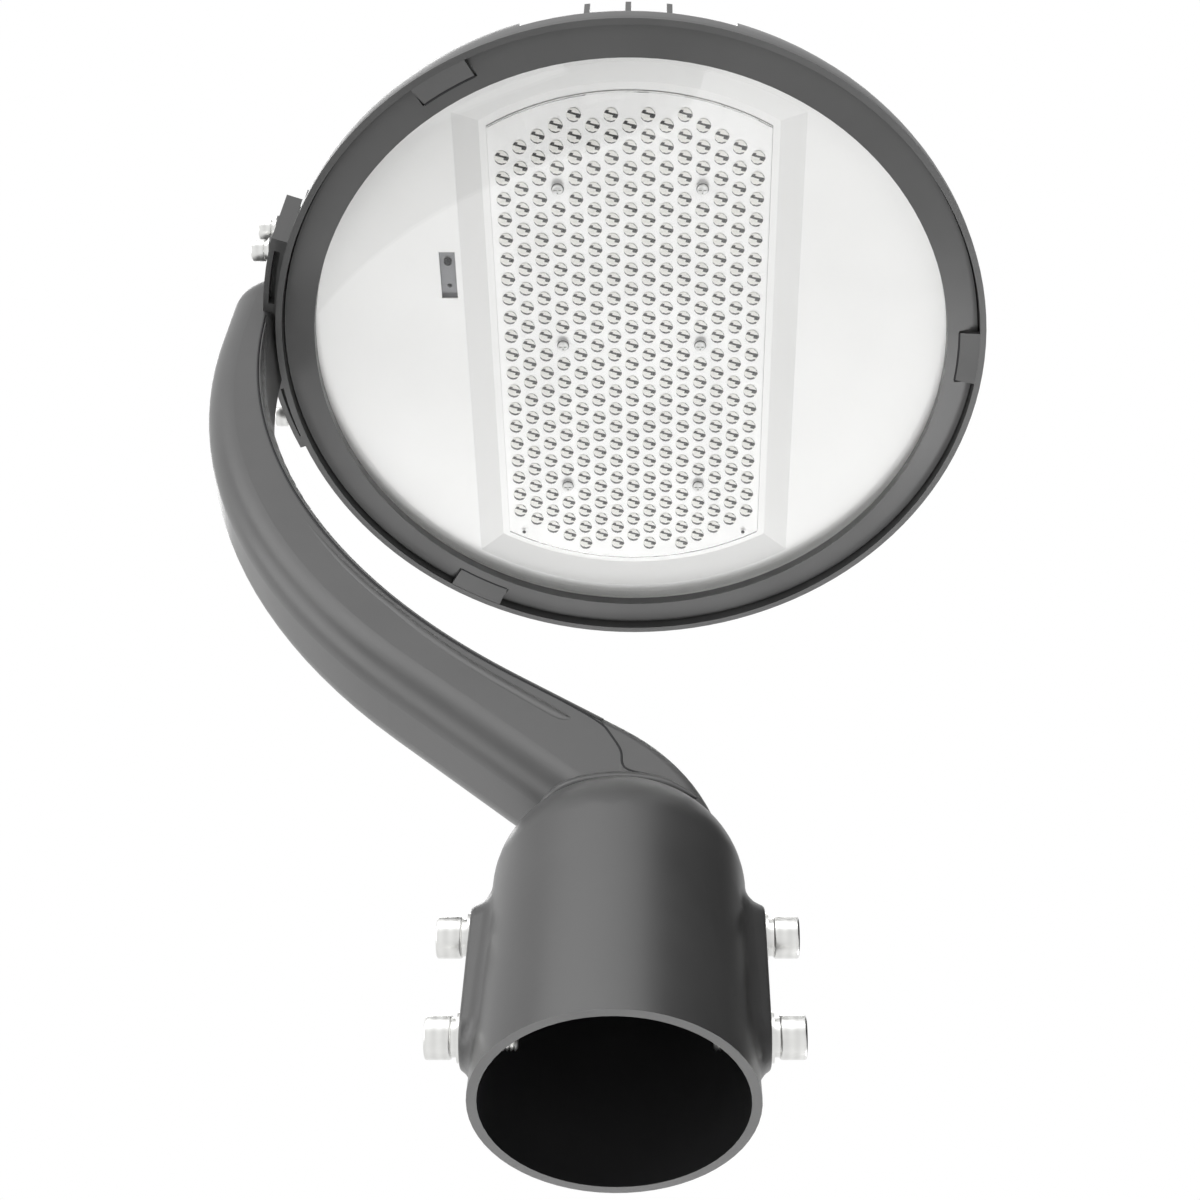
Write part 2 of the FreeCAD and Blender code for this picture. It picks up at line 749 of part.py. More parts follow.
def flange_blank():
    pieces = [arc_block("flange_plate", flange_inner, flange_outer, flange_level, d.flange_height,
                        WEST, d.flange_half_angle)]
    for name, y, z in bolt_spots():
        pieces.append(along(d.bolt_washer_diameter / 2 + 1, bolt_seat - bolt_root, f"seat_{name}",
                            (-bolt_root, y, z), -1))
    return pieces


def bolt_spots():
    for side_name, side in SIDES:
        for index, level in enumerate(bolt_levels):
            yield f"{side_name}_{index}", side * bolt_spread, level


def arm_casting():
    neck = cut("arm_neck", fuse("arm_body", arm_bar(), arm_cap()),
               cover_room("cover_seat", d.cover_gap, OVERSHOOT, d.arm_width))
    socket = blended("socket_body", fuse("socket_bosses", *socket_blank()),
                     [("boss_edges", is_boss_edge, d.boss_edge_round), ("boss_roots", is_boss_root, d.boss_blend)])
    blank = fuse("casting_blank", socket, neck, *flange_blank())
    duct_half = arm_half - d.arm_wall
    tools = [rod("pole_bore", d.bore_radius, d.dome_level + OVERSHOOT, (0, 0, -OVERSHOOT)),
             dome("dome_room", d.bore_radius - d.pole_stop, d.dome_height - d.socket_wall),
             slab("arm_duct", outer_side.moved(d.arm_wall), inner_side.moved(-d.cover_thickness), duct_half,
                  arm_foot + OVERSHOOT, duct_level + d.duct_hole_radius),
             rod("head_room", flange_inner, 2 * d.flange_height, (0, 0, flange_level - OVERSHOOT)),
             along(d.duct_hole_radius, d.flange_thickness + d.duct_hole_radius, "duct_mouth",
                   (-flange_inner + 1, 0, duct_level), -1)]
    for name, side in SIDES:
        tools.append(arc_block(f"flange_pocket_{name}", flange_inner + d.flange_pocket_wall,
                               flange_outer - d.flange_pocket_wall, flange_level - OVERSHOOT,
                               d.flange_pocket_depth + OVERSHOOT, WEST + side * d.flange_pocket_middle,
                               d.flange_pocket_angle))
    for side_name, side in SIDES:
        for index, level in enumerate(screw_levels):
            tools.append(along(d.screw_diameter / 2 + d.thread_gap, boss_face, f"tap_{side_name}_{index}",
                               (side * OVERSHOOT, 0, level), side))
    for name, y, z in bolt_spots():
        tools.append(along(d.bolt_diameter / 2 + d.thread_gap, flange_outer, f"bolt_way_{name}",
                           (0, y, z), -1))
        tools.append(along(d.bolt_washer_diameter / 2 + 1, d.bolt_head_length * 2, f"spot_face_{name}",
                           (-bolt_seat, y, z), -1))
    hollow = cut("casting_hollow", blank, *tools)
    seat_depth = d.cover_thickness + d.cover_gap
    posts = []
    holes = []
    for index, spot in enumerate(cover_screw_spots()):
        post = rod(f"cover_post_{index}", d.cover_post_diameter / 2, d.arm_width, (0, 0, 0))
        posts.append(inward(post, *spot, sink=seat_depth))
        holes.append(cover_screw(f"cover_tap_{index}", spot, d.thread_gap))
    inside = slab("arm_inside", outer_side.moved(d.arm_wall / 2), inner_side, duct_half, arm_foot, arm_top_level)
    posts = common("cover_posts", fuse("cover_post_blanks", *posts), inside)
    sharp = cut("casting_sharp", fuse("casting_posts", hollow, posts), *holes)
    node("arm_casting", blended("arm_casting", sharp, [("arm_root", is_arm_root, d.socket_blend)]))


def blended(name, sharp, blends):
    """A body that softens chosen edges of a solid, one kind of edge after the other."""
    doc.recompute()
    body = doc.addObject("PartDesign::Body", name)
    body.BaseFeature = sharp
    doc.recompute()
    for title, wanted, radius in blends:
        base = body.Tip
        picked = [f"Edge{index}" for index, edge in enumerate(base.Shape.Edges, start=1) if wanted(base.Shape, edge)]
        fillet = body.newObject("PartDesign::Fillet", title)
        fillet.Base = (base, picked)
        bind(fillet, Radius=radius)
        doc.recompute()
    return body


def face_kinds(shape, edge):
    """What the faces beside an edge of the casting are."""
    kinds = set()
    for face in shape.ancestorsOfType(edge, Part.Face):
        surface, reach = face.Surface, face.BoundBox
        low = reach.ZMax < d.dome_level.value
        if isinstance(surface, Part.Cone):
            kinds.add("socket" if abs(surface.Axis.z) > 0.99 else "boss" if low else "other")
        elif isinstance(surface, Part.Plane) and low and abs(surface.Axis.x) > 0.99:
            kinds.add("boss_face")
        elif isinstance(surface, Part.Plane) and low and abs(surface.Axis.z) < 0.01:
            kinds.add("web")
        else:
            kinds.add("other")
    return kinds


def is_boss_root(shape, edge):
    return face_kinds(shape, edge) in ({"socket", "boss"}, {"socket", "web"}) and edge.Length > 1


def is_boss_edge(shape, edge):
    return face_kinds(shape, edge) in ({"boss_face", "boss"}, {"boss_face", "web"})


def is_arm_root(shape, edge):
    """True where the arm's outside meets the dome, left of the cover's seam."""
    middle = edge.valueAt((edge.FirstParameter + edge.LastParameter) / 2)
    across = (middle.x ** 2 + middle.y ** 2) / dome_radius.value ** 2
    height = (middle.z - d.dome_level.value) / d.dome_height.value
    seam_x = (d.heel_x - d.cover_gap).value
    on_dome = height > 0.01 and abs(across + height ** 2 - 1) < 0.001
    return on_dome and edge.BoundBox.XMin < seam_x - 0.05 and edge.BoundBox.XMax < seam_x + 0.05


def arm_cover():
    body = cover_room("cover_blank", sized(0), 0, d.arm_width)
    shape = common("cover_shape", body, doc.getObject("arm_bar"))
    holes = [cover_screw(f"cover_hole_{index}", spot, d.thread_gap)
             for index, spot in enumerate(cover_screw_spots())]
    foot = dome("cover_foot", dome_radius + d.cover_gap, d.dome_height + d.cover_gap)
    below = rod("cover_socket", dome_radius + d.cover_gap, d.dome_level, (0, 0, 0))
    hollow = slab("cover_hollow", outer_side, inner_side.moved(-d.heel_wall), arm_half - d.arm_wall, arm_foot,
                  arm_top_level)
    node("arm_cover", cut("arm_cover", shape, foot, below, hollow, *holes))
    screws = [cover_screw(f"cover_screw_{index}", spot) for index, spot in enumerate(cover_screw_spots())]
    node("arm_cover_screws", group("arm_cover_screws", screws))


def cap_screw(name, seat, y, z, side, diameter, head_diameter, head_length, key, length):
    """Socket head cap screw along X with its head outside the seat."""
    head = along(head_diameter / 2, head_length, f"{name}_head", (side * seat, y, z), side)
    shank = along(diameter / 2, length, f"{name}_shank", (side * (seat - length), y, z), side)
    socket = doc.addObject("Part::Prism", f"{name}_key")
    socket.Polygon = 6
    bind(socket, Circumradius=key / math.sqrt(3), Height=head_length)
    place(socket, side * (seat + head_length / 2), y, z, FreeCAD.Rotation(Y_AXIS, 90 * side))
    return cut(name, fuse(f"{name}_blank", head, shank), socket)


def washer(name, outer, hole, thickness, seat, y, z, side):
    disc = along(outer / 2, thickness, f"{name}_disc", (side * seat, y, z), side)
    return cut(name, disc, along(hole, 3 * thickness, f"{name}_hole", (side * (seat - thickness), y, z), side))


def pole_screws():
    screws, springs, washers = [], [], []
    spring_seat = boss_face + d.washer_thickness
    head_seat = spring_seat + d.spring_thickness
    hole = d.screw_diameter / 2 + d.thread_gap
    for side_name, side in SIDES:
        for index, level in enumerate(screw_levels):
            spot = f"{side_name}_{index}"
            washers.append(washer(f"pole_washer_{spot}", d.washer_diameter, hole, d.washer_thickness,
                                  boss_face, 0, level, side))
            springs.append(washer(f"pole_spring_{spot}", d.spring_diameter, hole, d.spring_thickness,
                                  spring_seat, 0, level, side))
            length = head_seat - d.bore_radius + d.screw_reach
            screws.append(cap_screw(f"pole_screw_{spot}", head_seat, 0, level, side, d.screw_diameter,
                                    d.screw_head_diameter, d.screw_head_length, d.screw_key, length))
    node("pole_screws", group("pole_screws", screws))
    node("pole_screw_spring_washers", group("pole_screw_spring_washers", springs))
    node("pole_screw_washers", group("pole_screw_washers", washers))


def flange_bolts():
    bolts, springs, washers = [], [], []
    spring_seat = bolt_seat + d.bolt_washer_thickness
    head_seat = spring_seat + d.bolt_spring_thickness
    hole = d.bolt_diameter / 2 + d.thread_gap
    for name, y, z in bolt_spots():
        washers.append(washer(f"flange_washer_{name}", d.bolt_washer_diameter, hole,
                              d.bolt_washer_thickness, bolt_seat, y, z, -1))
        springs.append(washer(f"flange_spring_{name}", d.bolt_spring_diameter, hole,
                              d.bolt_spring_thickness, spring_seat, y, z, -1))
        length = head_seat - bolt_root + d.bolt_grip
        bolts.append(cap_screw(f"flange_bolt_{name}", head_seat, y, z, -1, d.bolt_diameter,
                               d.bolt_head_diameter, d.bolt_head_length, d.bolt_key, length))
    node("flange_bolts", group("flange_bolts", bolts))
    node("flange_bolt_spring_washers", group("flange_bolt_spring_washers", springs))
    node("flange_bolt_washers", group("flange_bolt_washers", washers))


def flange_gasket():
    skin = d.gasket_skin
    blank = arc_block("flange_gasket_blank", pad_radius + skin, flange_inner - skin, flange_level + d.pad_margin,
                      d.flange_height - 2 * d.pad_margin, WEST, d.flange_half_angle - d.gasket_inset)
    holes = [along(d.bolt_diameter / 2 + 2 * d.thread_gap, flange_outer, f"gasket_hole_{name}", (0, y, z), -1)
             for name, y, z in bolt_spots()]
    holes.append(along(d.duct_hole_radius, flange_outer, "gasket_duct", (0, 0, duct_level), -1))
    node("flange_gasket", cut("flange_gasket", blank, *holes))


def cable_grommet():
    inner_face = pad_radius - d.pad_depth - d.seat_gap
    sleeve = along(d.duct_hole_radius - d.seat_gap, d.pad_depth - d.seat_gap, "grommet_sleeve",
                   (-inner_face, 0, duct_level), -1)
    lip = along(d.duct_hole_radius + d.grommet_lip, d.grommet_lip, "grommet_lip",
                (-(inner_face - d.grommet_drop), 0, duct_level), 1)
    collar = along(d.duct_hole_radius - d.seat_gap, d.grommet_drop + 1, "grommet_collar",
                   (-inner_face - 1, 0, duct_level), 1)
    bore = along(d.grommet_bore, 4 * d.pad_depth, "grommet_bore", (-inner_face + 2 * d.pad_depth, 0, duct_level), -1)
    node("cable_grommet", cut("cable_grommet", fuse("grommet_blank", sleeve, collar, lip), bore))


# Head housing: a crowned die casting with an open finned band along Y over the LED board

def head_housing():
    blank = turned("housing_blank", [(0, lip_level), (d.skirt_radius, lip_level),
                                     (d.skirt_radius, roof_level), (0, roof_level)])
    soften(blank, "housing_crown", d.crown_round, roof_level, d.skirt_radius)
    pad = arc_block("housing_pad", pad_radius - d.pad_depth, pad_radius, band_level - OVERSHOOT,
                    flange_top - band_level + OVERSHOOT, WEST, d.flange_half_angle + d.pad_margin)
    reach = 2 * d.skirt_radius
    band = box("band_room", (-d.band_half_width, -d.skirt_radius, band_level - OVERSHOOT),
               (2 * d.band_half_width, reach, d.crown_round * 2))
    kept = turned("band_floor", [(0, lip_level), (d.skirt_radius, lip_level), (d.skirt_radius, band_level),
                                 (d.skirt_radius - d.band_edge, band_level + d.band_edge_rise),
                                 (d.skirt_radius - d.band_slope, floor_level), (0, floor_level)])
    pad_room = arc_block("flange_room", pad_radius, flange_outer, band_level, 2 * d.flange_height,
                         WEST, d.flange_half_angle + d.pad_margin)
    outside = cut("housing_outside", fuse("housing_solid", blank, pad), cut("band_cut", band, kept), pad_room)
    cavity = turned("housing_cavity", [(0, seat_level), (cavity_radius, seat_level),
                                       (cavity_radius, ceiling), (0, ceiling)])
    soften(cavity, "cavity_crown", d.crown_round - d.cavity_step, ceiling, cavity_radius)
    spreader = box("spreader", (-spreader_half, -d.skirt_radius, spreader_level),
                   (2 * spreader_half, reach, d.spreader_thickness))
    band_half = d.band_half_width + d.band_wall_thickness
    trough = box("trough", (-band_half, -d.skirt_radius, spreader_level), (2 * band_half, reach, d.crown_round * 2))
    inner_pad = arc_block("inner_pad", pad_radius - d.pad_depth, d.skirt_radius, seat_level,
                          flange_top - seat_level, WEST, d.flange_half_angle)
    room = cut("housing_room", cavity, spreader, trough, inner_pad)
    mouth = rod("housing_mouth", skirt_inner, seat_level - lip_level + 1, (0, 0, lip_level - 1))
    finned = fuse("housing_finned", outside, *[housing_fin(index) for index in (-1, 0, 1)])
    shell = cut("housing_shell", finned, room, mouth)
    additions = [lug(index) for index in range(int(d.lug_count.value))]
    tab_top = tab_level + d.tab_thickness
    additions.append(rod("tab_post", d.tab_post_radius, floor_level - tab_top,
                         (slot_x, d.slot_y + d.tab_screw_offset, tab_top)))
    additions.append(box("tab_shelf", (slot_x - d.tab_post_radius, d.slot_y - d.slot_length / 2, spreader_level),
                         (d.tab_post_radius - slot_x - spreader_half + 1, d.slot_length,
                          d.spreader_thickness)))
    holes = [along(d.duct_hole_radius, flange_outer - cavity_radius / 2, "housing_duct",
                   (-cavity_radius / 2, 0, duct_level), -1),
             along(d.duct_hole_radius + d.grommet_lip + d.seat_gap, d.pad_depth, "grommet_room",
                   (d.pad_depth * 2 - pad_radius, 0, duct_level), -1)]
    for name, y, z in bolt_spots():
        holes.append(along(d.bolt_diameter / 2 + d.thread_gap, flange_outer - bolt_root + d.bolt_grip + 1,
                           f"bolt_tap_{name}", (-(bolt_root - d.bolt_grip - 1), y, z), -1))
    for index, (x, y) in enumerate(lens_screw_spots()):
        holes.append(rod(f"lens_tap_{index}", d.lens_screw_diameter / 2 + d.thread_gap, d.lens_screw_bite + 1.5,
                         (x, y, spreader_level - 1)))
    for name, side in SIDES:
        holes.append(rod(f"driver_tap_{name}", d.driver_screw_diameter / 2 + d.thread_gap,
                         d.driver_screw_bite + 1.3, (driver_x, side * driver_screw_y, ceiling - 1)))
    holes.append(rod("tab_tap", d.tab_screw_diameter / 2 + d.thread_gap, d.tab_screw_bite + 1,
                     (slot_x, d.slot_y + d.tab_screw_offset, tab_level)))
    node("head_housing", cut("head_housing", fuse("housing_whole", shell, *additions), *holes))


def housing_fin(index):
    """Fin along the band, low at the rim and level over the middle."""
    tip_level = band_level + d.fin_tip
    crest_level = band_level + d.fin_crest
    edge = d.skirt_radius - 1
    profile = turned(f"fin_profile_{index + 1}", [(0, band_level), (edge, band_level), (edge, tip_level),
                                                  (edge - d.fin_run, crest_level), (0, crest_level)])
    plate = box(f"fin_plate_{index + 1}", (index * d.fin_pitch - d.fin_thickness / 2, -d.skirt_radius, band_level),
                (d.fin_thickness, 2 * d.skirt_radius, d.fin_crest))
    blank = common(f"fin_blank_{index + 1}", profile, plate)
    under = turned(f"fin_under_{index + 1}", [(0, lip_level), (d.skirt_radius, lip_level),
                                              (d.skirt_radius - 0.5, band_level),
                                              (d.skirt_radius - d.band_edge - 0.5, band_level + d.band_edge_rise),
                                              (d.skirt_radius - d.band_slope - 1, floor_level - 1),
                                              (0, floor_level - 1)])
    return cut(f"fin_{index + 1}", blank, under)


def lug_ring(name, low_drop, gap):
    """Ring from which the lugs are cut: it runs from the lip in to the face of the bezel, flush with it."""
    inner = skirt_inner + d.lug_root - d.lug_width - gap
    outer = skirt_inner + d.lug_root
    face = d.head_level + d.bezel_rise * (inner - opening_radius) / (bezel_radius - opening_radius)
    return turned(name, [(inner, face - low_drop), (outer, lip_level - low_drop),
                         (outer, lip_level + d.lug_thickness + gap), (inner, face + d.lug_tip + gap)])


def lug(index):
    """Catch under the bezel, folded in from the lip of the skirt."""
    slice_part = sector(f"lug_slice_{index}", d.skirt_radius, lip_level - OVERSHOOT, 4 * OVERSHOOT,
                        index * 360 / d.lug_count, d.lug_half_angle)
    return common(f"lug_{index}", lug_ring(f"lug_ring_{index}", 0, 0), slice_part)


# Optical stack: bezel, glass, gasket, reflector, lens plate and LED board

def bezel_ring():
    inner = opening_radius
    ledge = inner + d.bezel_lip
    channel = bezel_radius - d.bezel_wall
    face = d.head_level
    top = sheet_level - d.seat_gap
    ring = turned("bezel_blank", [(inner, face), (bezel_radius, face + d.bezel_rise), (bezel_radius, top),
                                  (channel, top), (channel, gasket_bottom), (ledge, gasket_bottom),
                                  (ledge, glass_level - d.seat_gap), (inner, glass_level - d.seat_gap)])
    notches = []
    for index in range(int(d.lug_count.value)):
        slice_part = sector(f"notch_slice_{index}", d.skirt_radius, lip_level - 2 * OVERSHOOT, 4 * OVERSHOOT,
                            index * 360 / d.lug_count, d.lug_half_angle + d.notch_play)
        notches.append(common(f"notch_{index}", lug_ring(f"notch_ring_{index}", OVERSHOOT, d.seat_gap), slice_part))
    node("bezel_ring", cut("bezel_ring", ring, *notches))


def glass_and_gasket():
    node("glass_lens", rod("glass_lens", glass_radius, d.glass_thickness, (0, 0, glass_level)))
    lap = glass_radius - d.gasket_lap
    outer = bezel_radius - d.bezel_wall - d.seat_gap
    node("glass_gasket", turned("glass_gasket", [(lap, gasket_bottom), (outer, gasket_bottom), (outer, sheet_level),
                                                 (lap, sheet_level), (lap, glass_top), (glass_radius, glass_top),
                                                 (glass_radius, glass_level), (lap, glass_level)]))


def recess_block(name, low, high, grow):
    """Tapered room of the reflector's recess: two flat sides and two round ends."""
    slope = d.recess_slope / d.recess_depth
    low_half = d.recess_half_width + grow - (low - sheet_level) * slope
    high_half = d.recess_half_width + grow - (high - sheet_level) * slope
    low_radius = recess_radius + grow - (low - sheet_level) * slope
    high_radius = recess_radius + grow - (high - sheet_level) * slope
    sides = wedge(f"{name}_sides", (low, high), (low_half, high_half), (-d.skirt_radius, d.skirt_radius))
    ends = cone(f"{name}_ends", low_radius, high_radius, high - low, (0, 0, low))
    return common(name, sides, ends)


def board_blank(name, low, height, grow=0):
    half = board_half + grow
    strip = box(f"{name}_strip", (-half, -d.skirt_radius, low), (2 * half, 2 * d.skirt_radius, height))
    return common(name, strip, rod(f"{name}_disc", board_radius + grow, height, (0, 0, low)))


def reflector_plate():
    rim = rod("reflector_rim", skirt_inner - d.skirt_gap, d.sheet_thickness, (0, 0, sheet_level))
    dish = recess_block("reflector_dish", sheet_level, spreader_level, d.sheet_thickness * 2)
    room = recess_block("reflector_room", sheet_level - 1, spreader_level - d.sheet_thickness, sized(0))
    window = board_blank("reflector_window", spreader_level - OVERSHOOT, 2 * OVERSHOOT, d.seat_gap)
    slot = box("reflector_slot", (slot_x - d.slot_width / 2, d.slot_y - d.slot_length / 2, sheet_level - 1),
               (d.slot_width, d.slot_length, d.sheet_thickness + 2))
    node("reflector_plate", cut("reflector_plate", fuse("reflector_blank", rim, dish), room, window, slot))


def lens_screw_spots():
    spots = []
    for column in (-1, 1):
        for row in (-1, 0, 1):
            spots.append((column * d.lens_screw_columns * d.lens_pitch_x, row * d.lens_screw_rows * d.lens_pitch_y))
    return spots


def led_board():
    holes = [rod(f"board_hole_{index}", d.lens_screw_diameter / 2 + d.thread_gap, 3 * d.board_thickness,
                 (x, y, board_level - d.board_thickness)) for index, (x, y) in enumerate(lens_screw_spots())]
    node("led_board", cut("led_board", board_blank("board_blank", board_level, d.board_thickness), *holes))


def lens_spots():
    """Places of the lenses: staggered columns inside the plate's outline, leaving out the screws."""
    pitch_x, pitch_y = d.lens_pitch_x.value, d.lens_pitch_y.value
    field = board_radius.value - d.lens_margin.value
    columns = int((board_half.value - d.lens_diameter.value / 2) // pitch_x)
    rows = int(field // pitch_y) + 1
    taken = {(round(x.value, 3), round(y.value, 3)) for x, y in lens_screw_spots()}
    spots = []
    for column in range(-columns, columns + 1):
        shift = 0.5 * (column % 2)
        for row in range(-rows - 1, rows + 1):
            x, y = column * pitch_x, (row + shift) * pitch_y
            if math.hypot(x, y) <= field and (round(x, 3), round(y, 3)) not in taken:
                spots.append((x, y))
    return spots


LENS_SIDES = 6


def lens_plate():
    """One moulded plate: flat on the board, with a faceted dome standing out over every LED."""
    low, high = plate_level.value, board_level.value
    half, radius = board_half.value, board_radius.value
    corner = math.sqrt(radius * radius - half * half)

    def rim(level):
        points = [FreeCAD.Vector(x, y, level) for x, y in
                  ((half, -corner), (half, corner), (0, radius), (-half, corner), (-half, -corner), (0, -radius))]
        edges = [Part.LineSegment(points[0], points[1]).toShape(), Part.Arc(*points[1:4]).toShape(),
                 Part.LineSegment(points[3], points[4]).toShape(),
                 Part.Arc(points[4], points[5], points[0]).toShape()]
        return Part.Wire(edges)

    def hole(x, y, level):
        circle = Part.Circle(FreeCAD.Vector(x, y, level), Z_AXIS, d.lens_screw_diameter.value / 2 + d.thread_gap.value)
        return Part.Wire([circle.toShape()])

    rise = FreeCAD.Vector(0, 0, high - low)
    screw_spots = [(x.value, y.value) for x, y in lens_screw_spots()]
    faces = rim(low).extrude(rise).Faces
    for x, y in screw_spots:
        faces += hole(x, y, low).extrude(rise).Faces
    faces.append(Part.Face([rim(high)] + [hole(x, y, high) for x, y in screw_spots], "Part::FaceMakerBullseye"))
    lens_rims = []
    for x, y in lens_spots():
        foot = [FreeCAD.Vector(x + d.lens_diameter.value / 2 * math.cos(2 * math.pi * step / LENS_SIDES),
                               y + d.lens_diameter.value / 2 * math.sin(2 * math.pi * step / LENS_SIDES), low)
                for step in range(LENS_SIDES)]
        lens_rims.append(Part.makePolygon(foot + foot[:1]))
        tip = FreeCAD.Vector(x, y, low - d.lens_height.value)
        for step in range(LENS_SIDES):
            corners = [foot[step], foot[(step + 1) % LENS_SIDES], tip, foot[step]]
            faces.append(Part.Face(Part.makePolygon(corners)))
    holes = [hole(x, y, low) for x, y in screw_spots]
    faces.append(Part.Face([rim(low)] + holes + lens_rims, "Part::FaceMakerBullseye"))
    item = doc.addObject("Part::Feature", "lens_plate")
    shell = Part.makeShell(faces)
    solid = Part.makeSolid(shell)
    if solid.Volume < 0:
        solid.reverse()
    item.Shape = solid
    item.Placement = FreeCAD.Placement()
    node("lens_plate", item)


def lens_plate_screws():
    screws = []
    length = lens_screw_top - plate_level
    for index, (x, y) in enumerate(lens_screw_spots()):
        head = rod(f"lens_screw_{index}_head", d.lens_screw_head / 2, d.lens_screw_head_height,
                   (x, y, plate_level - d.lens_screw_head_height))
        shank = rod(f"lens_screw_{index}_shank", d.lens_screw_diameter / 2, length, (x, y, plate_level))
        screws.append(fuse(f"lens_screw_{index}", head, shank))
    node("lens_plate_screws", group("lens_plate_screws", screws))


# Gear inside the head: service tab, driver and terminal block

def service_tab():
    width = d.slot_width + 2 * d.tab_margin
    length = d.slot_length + 2 * d.tab_margin
    screw_y = d.slot_y + d.tab_screw_offset
    plate = box("tab_blank", (slot_x - width / 2, d.slot_y - length / 2, tab_level), (width, length, d.tab_thickness))
    screw_way = rod("tab_screw_way", d.tab_screw_diameter / 2 + d.thread_gap, 3 * d.tab_thickness,
                    (slot_x, screw_y, tab_level - d.tab_thickness))
    hole = rod("tab_hole", d.tab_hole_radius, 3 * d.tab_thickness,
               (slot_x, d.slot_y + d.tab_hole_offset, tab_level - d.tab_thickness))
    node("service_tab", cut("service_tab", plate, screw_way, hole))
    head = rod("tab_screw_head", d.tab_screw_head / 2, d.tab_screw_head_height,
               (slot_x, screw_y, tab_level - d.tab_screw_head_height))
    shank = rod("tab_screw_shank", d.tab_screw_diameter / 2, d.tab_screw_bite, (slot_x, screw_y, tab_level))
    node("service_tab_screw", fuse("service_tab_screw", head, shank))


def led_driver():
    low = ceiling - d.driver_height
    case = box("driver_case", (driver_x - d.driver_width / 2, -driver_length / 2, low),
               (d.driver_width, driver_length, d.driver_height))
    ear_span = driver_length + 2 * d.driver_ear_length
    ears = box("driver_ears", (driver_x - d.driver_ear_width / 2, -ear_span / 2, ceiling - d.driver_ear_thickness),
               (d.driver_ear_width, ear_span, d.driver_ear_thickness))
    holes, screws = [], []
    head_level = ceiling - d.driver_ear_thickness
    for name, side in SIDES:
        y = side * driver_screw_y
        holes.append(rod(f"ear_hole_{name}", d.driver_screw_diameter / 2 + d.thread_gap, 3 * d.driver_ear_thickness,
                         (driver_x, y, head_level - d.driver_ear_thickness)))
        head = rod(f"driver_screw_{name}_head", d.driver_screw_head / 2, d.driver_screw_head_height,
                   (driver_x, y, head_level - d.driver_screw_head_height))
        shank = rod(f"driver_screw_{name}_shank", d.driver_screw_diameter / 2,
                    d.driver_ear_thickness + d.driver_screw_bite, (driver_x, y, head_level))
        screws.append(fuse(f"driver_screw_{name}", head, shank))
    node("led_driver", cut("led_driver", fuse("driver_blank", case, ears), *holes))
    node("driver_screws", group("driver_screws", screws))


def terminal_block():
    low = ceiling - d.terminal_height
    block = box("terminal_blank", (terminal_x - d.terminal_width / 2, terminal_y - d.terminal_length / 2, low),
                (d.terminal_width, d.terminal_length, d.terminal_height))
    holes, screws = [], []
    poles = int(d.terminal_poles.value)
    for index in range(poles):
        x = terminal_x + (index - (poles - 1) / 2) * d.terminal_width / d.terminal_poles
        holes.append(rod(f"terminal_hole_{index}", d.terminal_screw_diameter / 2 + d.thread_gap,
                         d.terminal_screw_depth + 1, (x, terminal_y, low - 1)))
        screws.append(rod(f"terminal_screw_{index}", d.terminal_screw_diameter / 2, d.terminal_screw_depth,
                          (x, terminal_y, low)))
    node("terminal_block", cut("terminal_block", block, *holes))
    node("terminal_screws", group("terminal_screws", screws))


bolt_root = root(pad_radius * pad_radius - bolt_spread * bolt_spread)
tab_level = seat_level + d.tab_lift
driver_screw_y = driver_length / 2 + d.driver_ear_length / 2
lens_screw_top = spreader_level + d.lens_screw_bite

arm_casting()
arm_cover()
pole_screws()
flange_bolts()
flange_gasket()
cable_grommet()
head_housing()
bezel_ring()
glass_and_gasket()
reflector_plate()
led_board()
lens_plate()
lens_plate_screws()
service_tab()
led_driver()
terminal_block()
doc.recompute()

failed = [item.Name for item in doc.Objects if "Invalid" in item.State or "Error" in item.State]
for item in nodes:
    if item.Shape.isNull() or not item.Shape.isValid() or not item.Shape.Solids:
        failed.append(item.Label)
if failed:
    raise RuntimeError("not built: " + ", ".join(failed))

os.makedirs("parts", exist_ok=True)
for item in nodes:
    item.Shape.exportStep(os.path.join("parts", f"{item.Label}.step"))
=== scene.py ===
import math

import bmesh
import bpy
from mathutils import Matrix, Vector


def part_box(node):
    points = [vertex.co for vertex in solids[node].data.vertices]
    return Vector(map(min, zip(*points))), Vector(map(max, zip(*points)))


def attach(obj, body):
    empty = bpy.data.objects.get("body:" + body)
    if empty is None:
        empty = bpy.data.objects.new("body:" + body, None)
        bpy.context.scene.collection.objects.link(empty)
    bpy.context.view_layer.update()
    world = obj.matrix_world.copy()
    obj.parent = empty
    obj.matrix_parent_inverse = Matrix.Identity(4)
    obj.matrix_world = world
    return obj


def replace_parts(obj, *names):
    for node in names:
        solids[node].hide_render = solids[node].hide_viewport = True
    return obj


# LED post top light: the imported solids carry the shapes, and this script gives their finishes, the moulded
# lenses, the LEDs behind them and the small trim. Lengths are in metres, in the frame of the solids.
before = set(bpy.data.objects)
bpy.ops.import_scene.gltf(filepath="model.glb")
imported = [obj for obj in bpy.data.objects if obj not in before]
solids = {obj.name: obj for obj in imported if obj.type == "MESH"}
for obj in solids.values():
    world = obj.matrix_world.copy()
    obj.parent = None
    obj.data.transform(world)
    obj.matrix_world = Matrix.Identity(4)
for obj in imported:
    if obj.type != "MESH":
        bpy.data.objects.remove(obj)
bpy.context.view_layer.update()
bpy.ops.object.select_all(action="DESELECT")
MM = 0.001


# Colours and nodes
def linear(code):
    """A six-digit sRGB hex colour as linear red, green, blue and alpha."""
    values = []
    for start in (0, 2, 4):
        share = int(code[start:start + 2], 16) / 255
        values.append(share / 12.92 if share <= 0.04045 else ((share + 0.055) / 1.055) ** 2.4)
    return (*values, 1.0)


